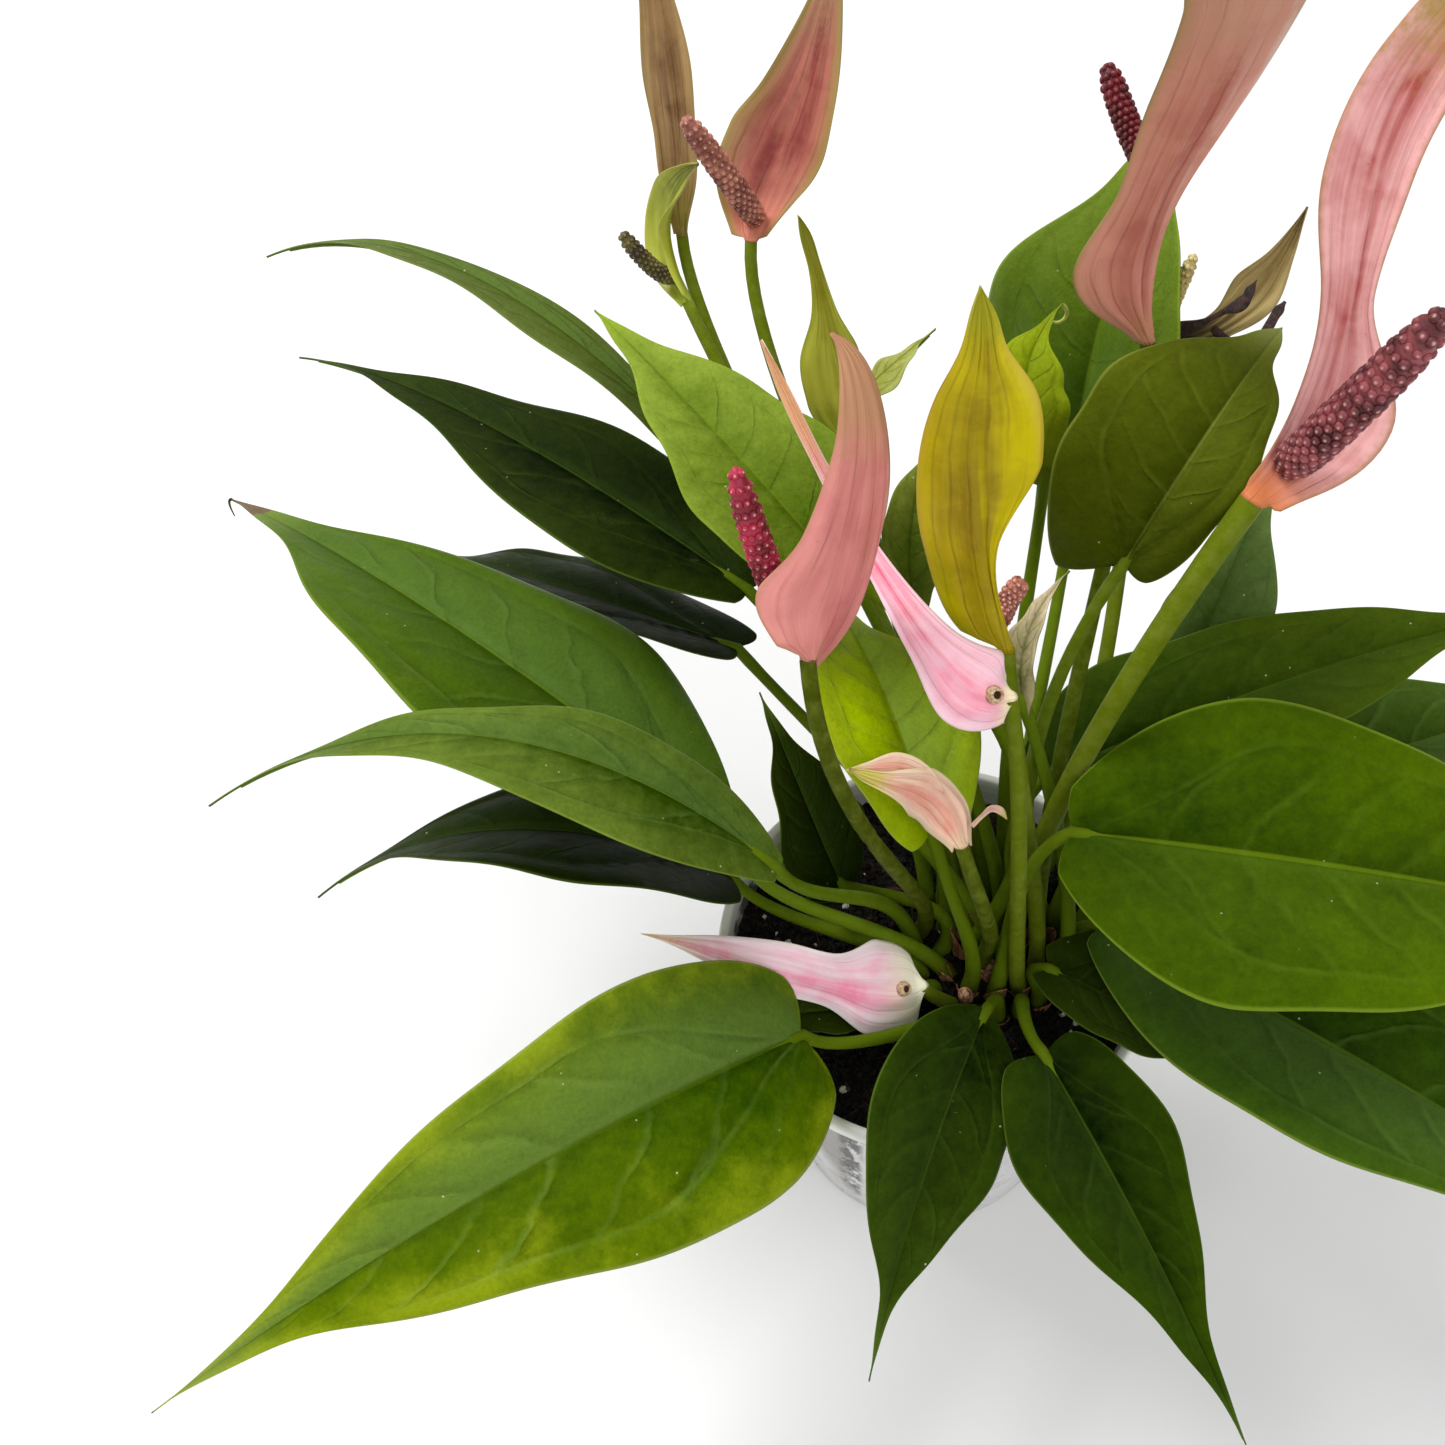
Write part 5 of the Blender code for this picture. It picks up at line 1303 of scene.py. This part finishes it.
# Where a spadix has broken off, a pale scar is left: how far it stands off the spathe and its radius,
# from its rim to the bottom of its small hole, and how dark each ring is.
scar_finish, shader = new_finish("spadix_scar")
spots = ramp(grain(millimetres(scar_finish.node_tree), 0.6, 4, 0.6), 0.4, 0.65)
colour = mix(spots, tint(228, 200, 160), tint(176, 136, 92))
colour = mix(ramp(held_values(scar_finish.node_tree, "hole")[0], 0.3, 0.9), colour, tint(84, 54, 34))
wire(shader, colour, ramp(spots, 0, 1, 0.5, 0.8), spots, 0.12)
SCAR_RINGS = ((0.0, 1.8, 0.0), (0.7, 1.6, 0.0), (1.4, 1.4, 0.05), (1.75, 1.15, 0.1), (1.6, 0.8, 0.5),
              (1.1, 0.62, 1.0), (0.5, 0.5, 1.0))
SCAR_SIDES = 20
SCAR_SEAT = 0.1

for number, (name, spec) in enumerate(BLOOMS.items()):
    junction, side, face, along = spathe_spot(spec, 0.0)
    entry = unit(along + BLOOM_UPTURN * UP)
    finish = spathe_finish(name + "_spathe_finish", name, 53.0 * number)
    rings, held = grow_stalk(spec, junction - 0.05 * entry, side, entry, junction[2] - MIX_TOP)
    stalk_finish = leaf_finish(name + "_stalk_finish", "olive", LEAVES["olive"]["greens"],
                               spec.get("stem", STALK_GREEN), 61.0 * number)
    points, faces, values = grow_spathe(spec, entry)
    spathe = mesh_piece(name + "_spathe", points, faces, finish, values)
    stalk = tube_piece(name + "_stalk", [rings], stalk_finish, held)
    slot = SPATHE_SLOTS.get(name, "spathe_pink")
    settle(spathe, slot, f"bloom_{name}_spathe")
    if slot == "leaf":
        settle(stalk, slot)
    else:
        settle(stalk, "stem_green", f"bloom_{name}_peduncle")
    if name in SPADICES:
        rod = SPADICES[name]
        spadix = grow_spadix(name + "_spadix", spec, rod, spadix_finishes[rod["look"]], number)
        settle(spadix, "spadix", f"bloom_{name}_spadix")
    if name in STUBS:
        seat, side, face, along = spathe_spot(spec, SCAR_SEAT)
        high, radii, hole = np.transpose(SCAR_RINGS)
        centres = seat + high[:, None] * face
        rings = tube(centres, np.tile(face, (len(high), 1)), along, radii, SCAR_SIDES)
        scar = tube_piece(name + "_scar", [rings], scar_finish, {"hole": np.repeat(hole, SCAR_SIDES)})
        settle(scar, "crown_sheath", f"bloom_{name}_stub")

# The lower margin of the dried spathe has withered to a nearly black twisted strip. The small young
# spathe has a second lobe, turned up behind it, and a thin curled end. Each is a thin flat ribbon,
# given by the points that it passes through, its half widths and how ragged its edges are.
RIBBON_ROWS = 60
RIBBON_SIDES = 16
RIBBON_THICKNESS = 0.28
RIBBON_SIDE = np.array([0.03, 0.78, 0.62])
RIBBONS = {
    "dried_strip": dict(
        points=((50.0, 86.9, 200.4), (53.1, 84.1, 202.0), (58.2, 81.8, 205.3), (62.9, 81.3, 208.7),
                (66.1, 80.2, 211.6), (67.2, 80.8, 214.0), (68.4, 81.7, 216.0)),
        halves=(0.5, 2.1, 1.1, 0.9, 1.5, 1.0, 0.12), ragged=0.4),
    "dried_corner": dict(
        points=((62.0, 83.0, 203.2), (65.2, 77.5, 203.6), (69.4, 74.0, 207.6), (72.2, 76.2, 211.4),
                (73.9, 77.5, 213.4)),
        halves=(0.7, 0.9, 1.0, 1.0, 0.5), ragged=0.3),
    "young_lobe": dict(
        points=((-1.0, -5.5, 159.3), (-5.3, -3.3, 161.0), (-10.3, -2.2, 162.5), (-16.2, -2.5, 163.5),
                (-20.6, -3.0, 164.4)),
        halves=(0.3, 3.0, 3.9, 1.8, 0.2), ragged=0.0),
    "young_curl": dict(
        points=((4.2, -11.8, 156.2), (6.2, -10.6, 157.8), (8.2, -9.7, 159.1), (9.8, -10.1, 158.9),
                (11.1, -11.6, 157.9)),
        halves=(0.5, 0.45, 0.7, 0.8, 0.12), ragged=0.0),
}


def grow_ribbon(spec):
    """Rings of a flat ribbon through its points."""
    shares = np.linspace(0, 1, RIBBON_ROWS)
    stations = np.linspace(0, 1, len(spec["points"]))
    columns = [smooth_between(shares, stations, column) for column in np.transpose(spec["points"])]
    centres = np.stack(columns, axis=1)
    along = unit(np.gradient(centres, axis=0))
    halves = smooth_between(shares, stations, spec["halves"])
    halves = halves * (1 + spec["ragged"] * uneven(shares, stations[1]))
    rings = tube(centres, along, RIBBON_SIDE, halves, RIBBON_SIDES)
    up = np.cross(square_to(RIBBON_SIDE, along), along)[:, None, :]
    height = np.sum((rings - centres[:, None, :]) * up, axis=2, keepdims=True)
    flat = RIBBON_THICKNESS / np.maximum(halves, RIBBON_THICKNESS)[:, None, None]
    return rings - (1 - flat) * height * up


withered_finish, shader = new_finish("withered_margin")
wrinkle = grain(millimetres(withered_finish.node_tree), 1.3, 5, 0.7, 0.5)
wire_grain(shader, wrinkle, 0.38, 0.7, (24, 12, 13), (82, 50, 46), (0.5, 0.8), 0.4)
around = -np.cos(math.tau * (np.arange(RIBBON_SIDES) + 0.5) / RIBBON_SIDES)
held = {"across": np.tile(around, RIBBON_ROWS),
        "along": np.repeat(np.linspace(0.1, 0.9, RIBBON_ROWS), RIBBON_SIDES),
        "under": np.zeros(RIBBON_ROWS * RIBBON_SIDES)}
for number, (name, spec) in enumerate(RIBBONS.items()):
    young = name.startswith("young")
    finish = spathe_finish(name + "_finish", "young", 9.0 * number) if young else withered_finish
    ribbon = tube_piece(name, [grow_ribbon(spec)], finish, held)
    settle(ribbon, "spathe_pink" if young else "spathe_tan")


# The floor, the light and the camera
# A plain pale floor, soft light from large panes overhead and at the front, and the camera above the
# front of the pot, looking down on the plant.
FLOOR_HALF = 3000
CAMERA_PLACE = (-24, -168, 389)
CAMERA_PITCH = math.radians(51.7)
CAMERA_ROLL = math.radians(-2.0)
SENSOR_WIDTH = 36
IMAGE_SIZE = 1445
FOCAL_PIXELS = 1400
MIDDLE_PIXEL = 827
ROOM_LIGHT = 0.42
# Each pane: where it hangs, where it points, its size and its power in watts.
PANES = {
    "overhead": ((-850, 700, 1800), (0, 0, 100), 1000, 31.0),
    "front_side": ((500, -1300, 1700), (0, 0, 100), 1400, 17.0),
}

floor_finish, shader = new_finish("pale_floor")
place = millimetres(floor_finish.node_tree)
colour = mix(grain(place, 300, 2), (0.92, 0.92, 0.92, 1), (0.95, 0.95, 0.95, 1))
wire(shader, colour, ramp(grain(place, 80, 2), 0, 1, 0.8, 0.9), grain(place, 4, 2), 0.02)
corners = [(x * FLOOR_HALF, y * FLOOR_HALF, -0.02) for x, y in ((-1, -1), (1, -1), (1, 1), (-1, 1))]
floor = mesh_piece("floor", corners, [(0, 1, 2, 3)], floor_finish)

world = bpy.data.worlds.new("soft_room")
world.use_nodes = True
world.node_tree.nodes["Background"].inputs["Color"].default_value = (1.0, 1.0, 1.0, 1.0)
world.node_tree.nodes["Background"].inputs["Strength"].default_value = ROOM_LIGHT
bpy.context.scene.world = world
for label, (spot, aim, size, power) in PANES.items():
    pane = bpy.data.lights.new(label, "AREA")
    pane.size = size * MM
    pane.energy = power
    lamp = place_in_scene(label, pane)
    lamp.location = Vector(spot) * MM
    lamp.rotation_euler = (Vector(aim) - Vector(spot)).to_track_quat("-Z", "Y").to_euler()

ahead = Vector((0, math.cos(CAMERA_PITCH), -math.sin(CAMERA_PITCH)))
level = Vector((1, 0, 0))
above = level.cross(ahead)
right = math.cos(CAMERA_ROLL) * level + math.sin(CAMERA_ROLL) * above
top = math.cos(CAMERA_ROLL) * above - math.sin(CAMERA_ROLL) * level
lens = bpy.data.cameras.new("camera")
lens.sensor_width = SENSOR_WIDTH
lens.lens = SENSOR_WIDTH * FOCAL_PIXELS / IMAGE_SIZE
lens.shift_x = 0.5 - MIDDLE_PIXEL / IMAGE_SIZE
lens.clip_start = 0.01
camera = place_in_scene("camera", lens)
stand = Matrix((right, top, -ahead)).transposed().to_4x4()
camera.matrix_world = Matrix.Translation(Vector(CAMERA_PLACE) * MM) @ stand
bpy.context.scene.camera = camera
bpy.context.scene.view_settings.view_transform = "Standard"
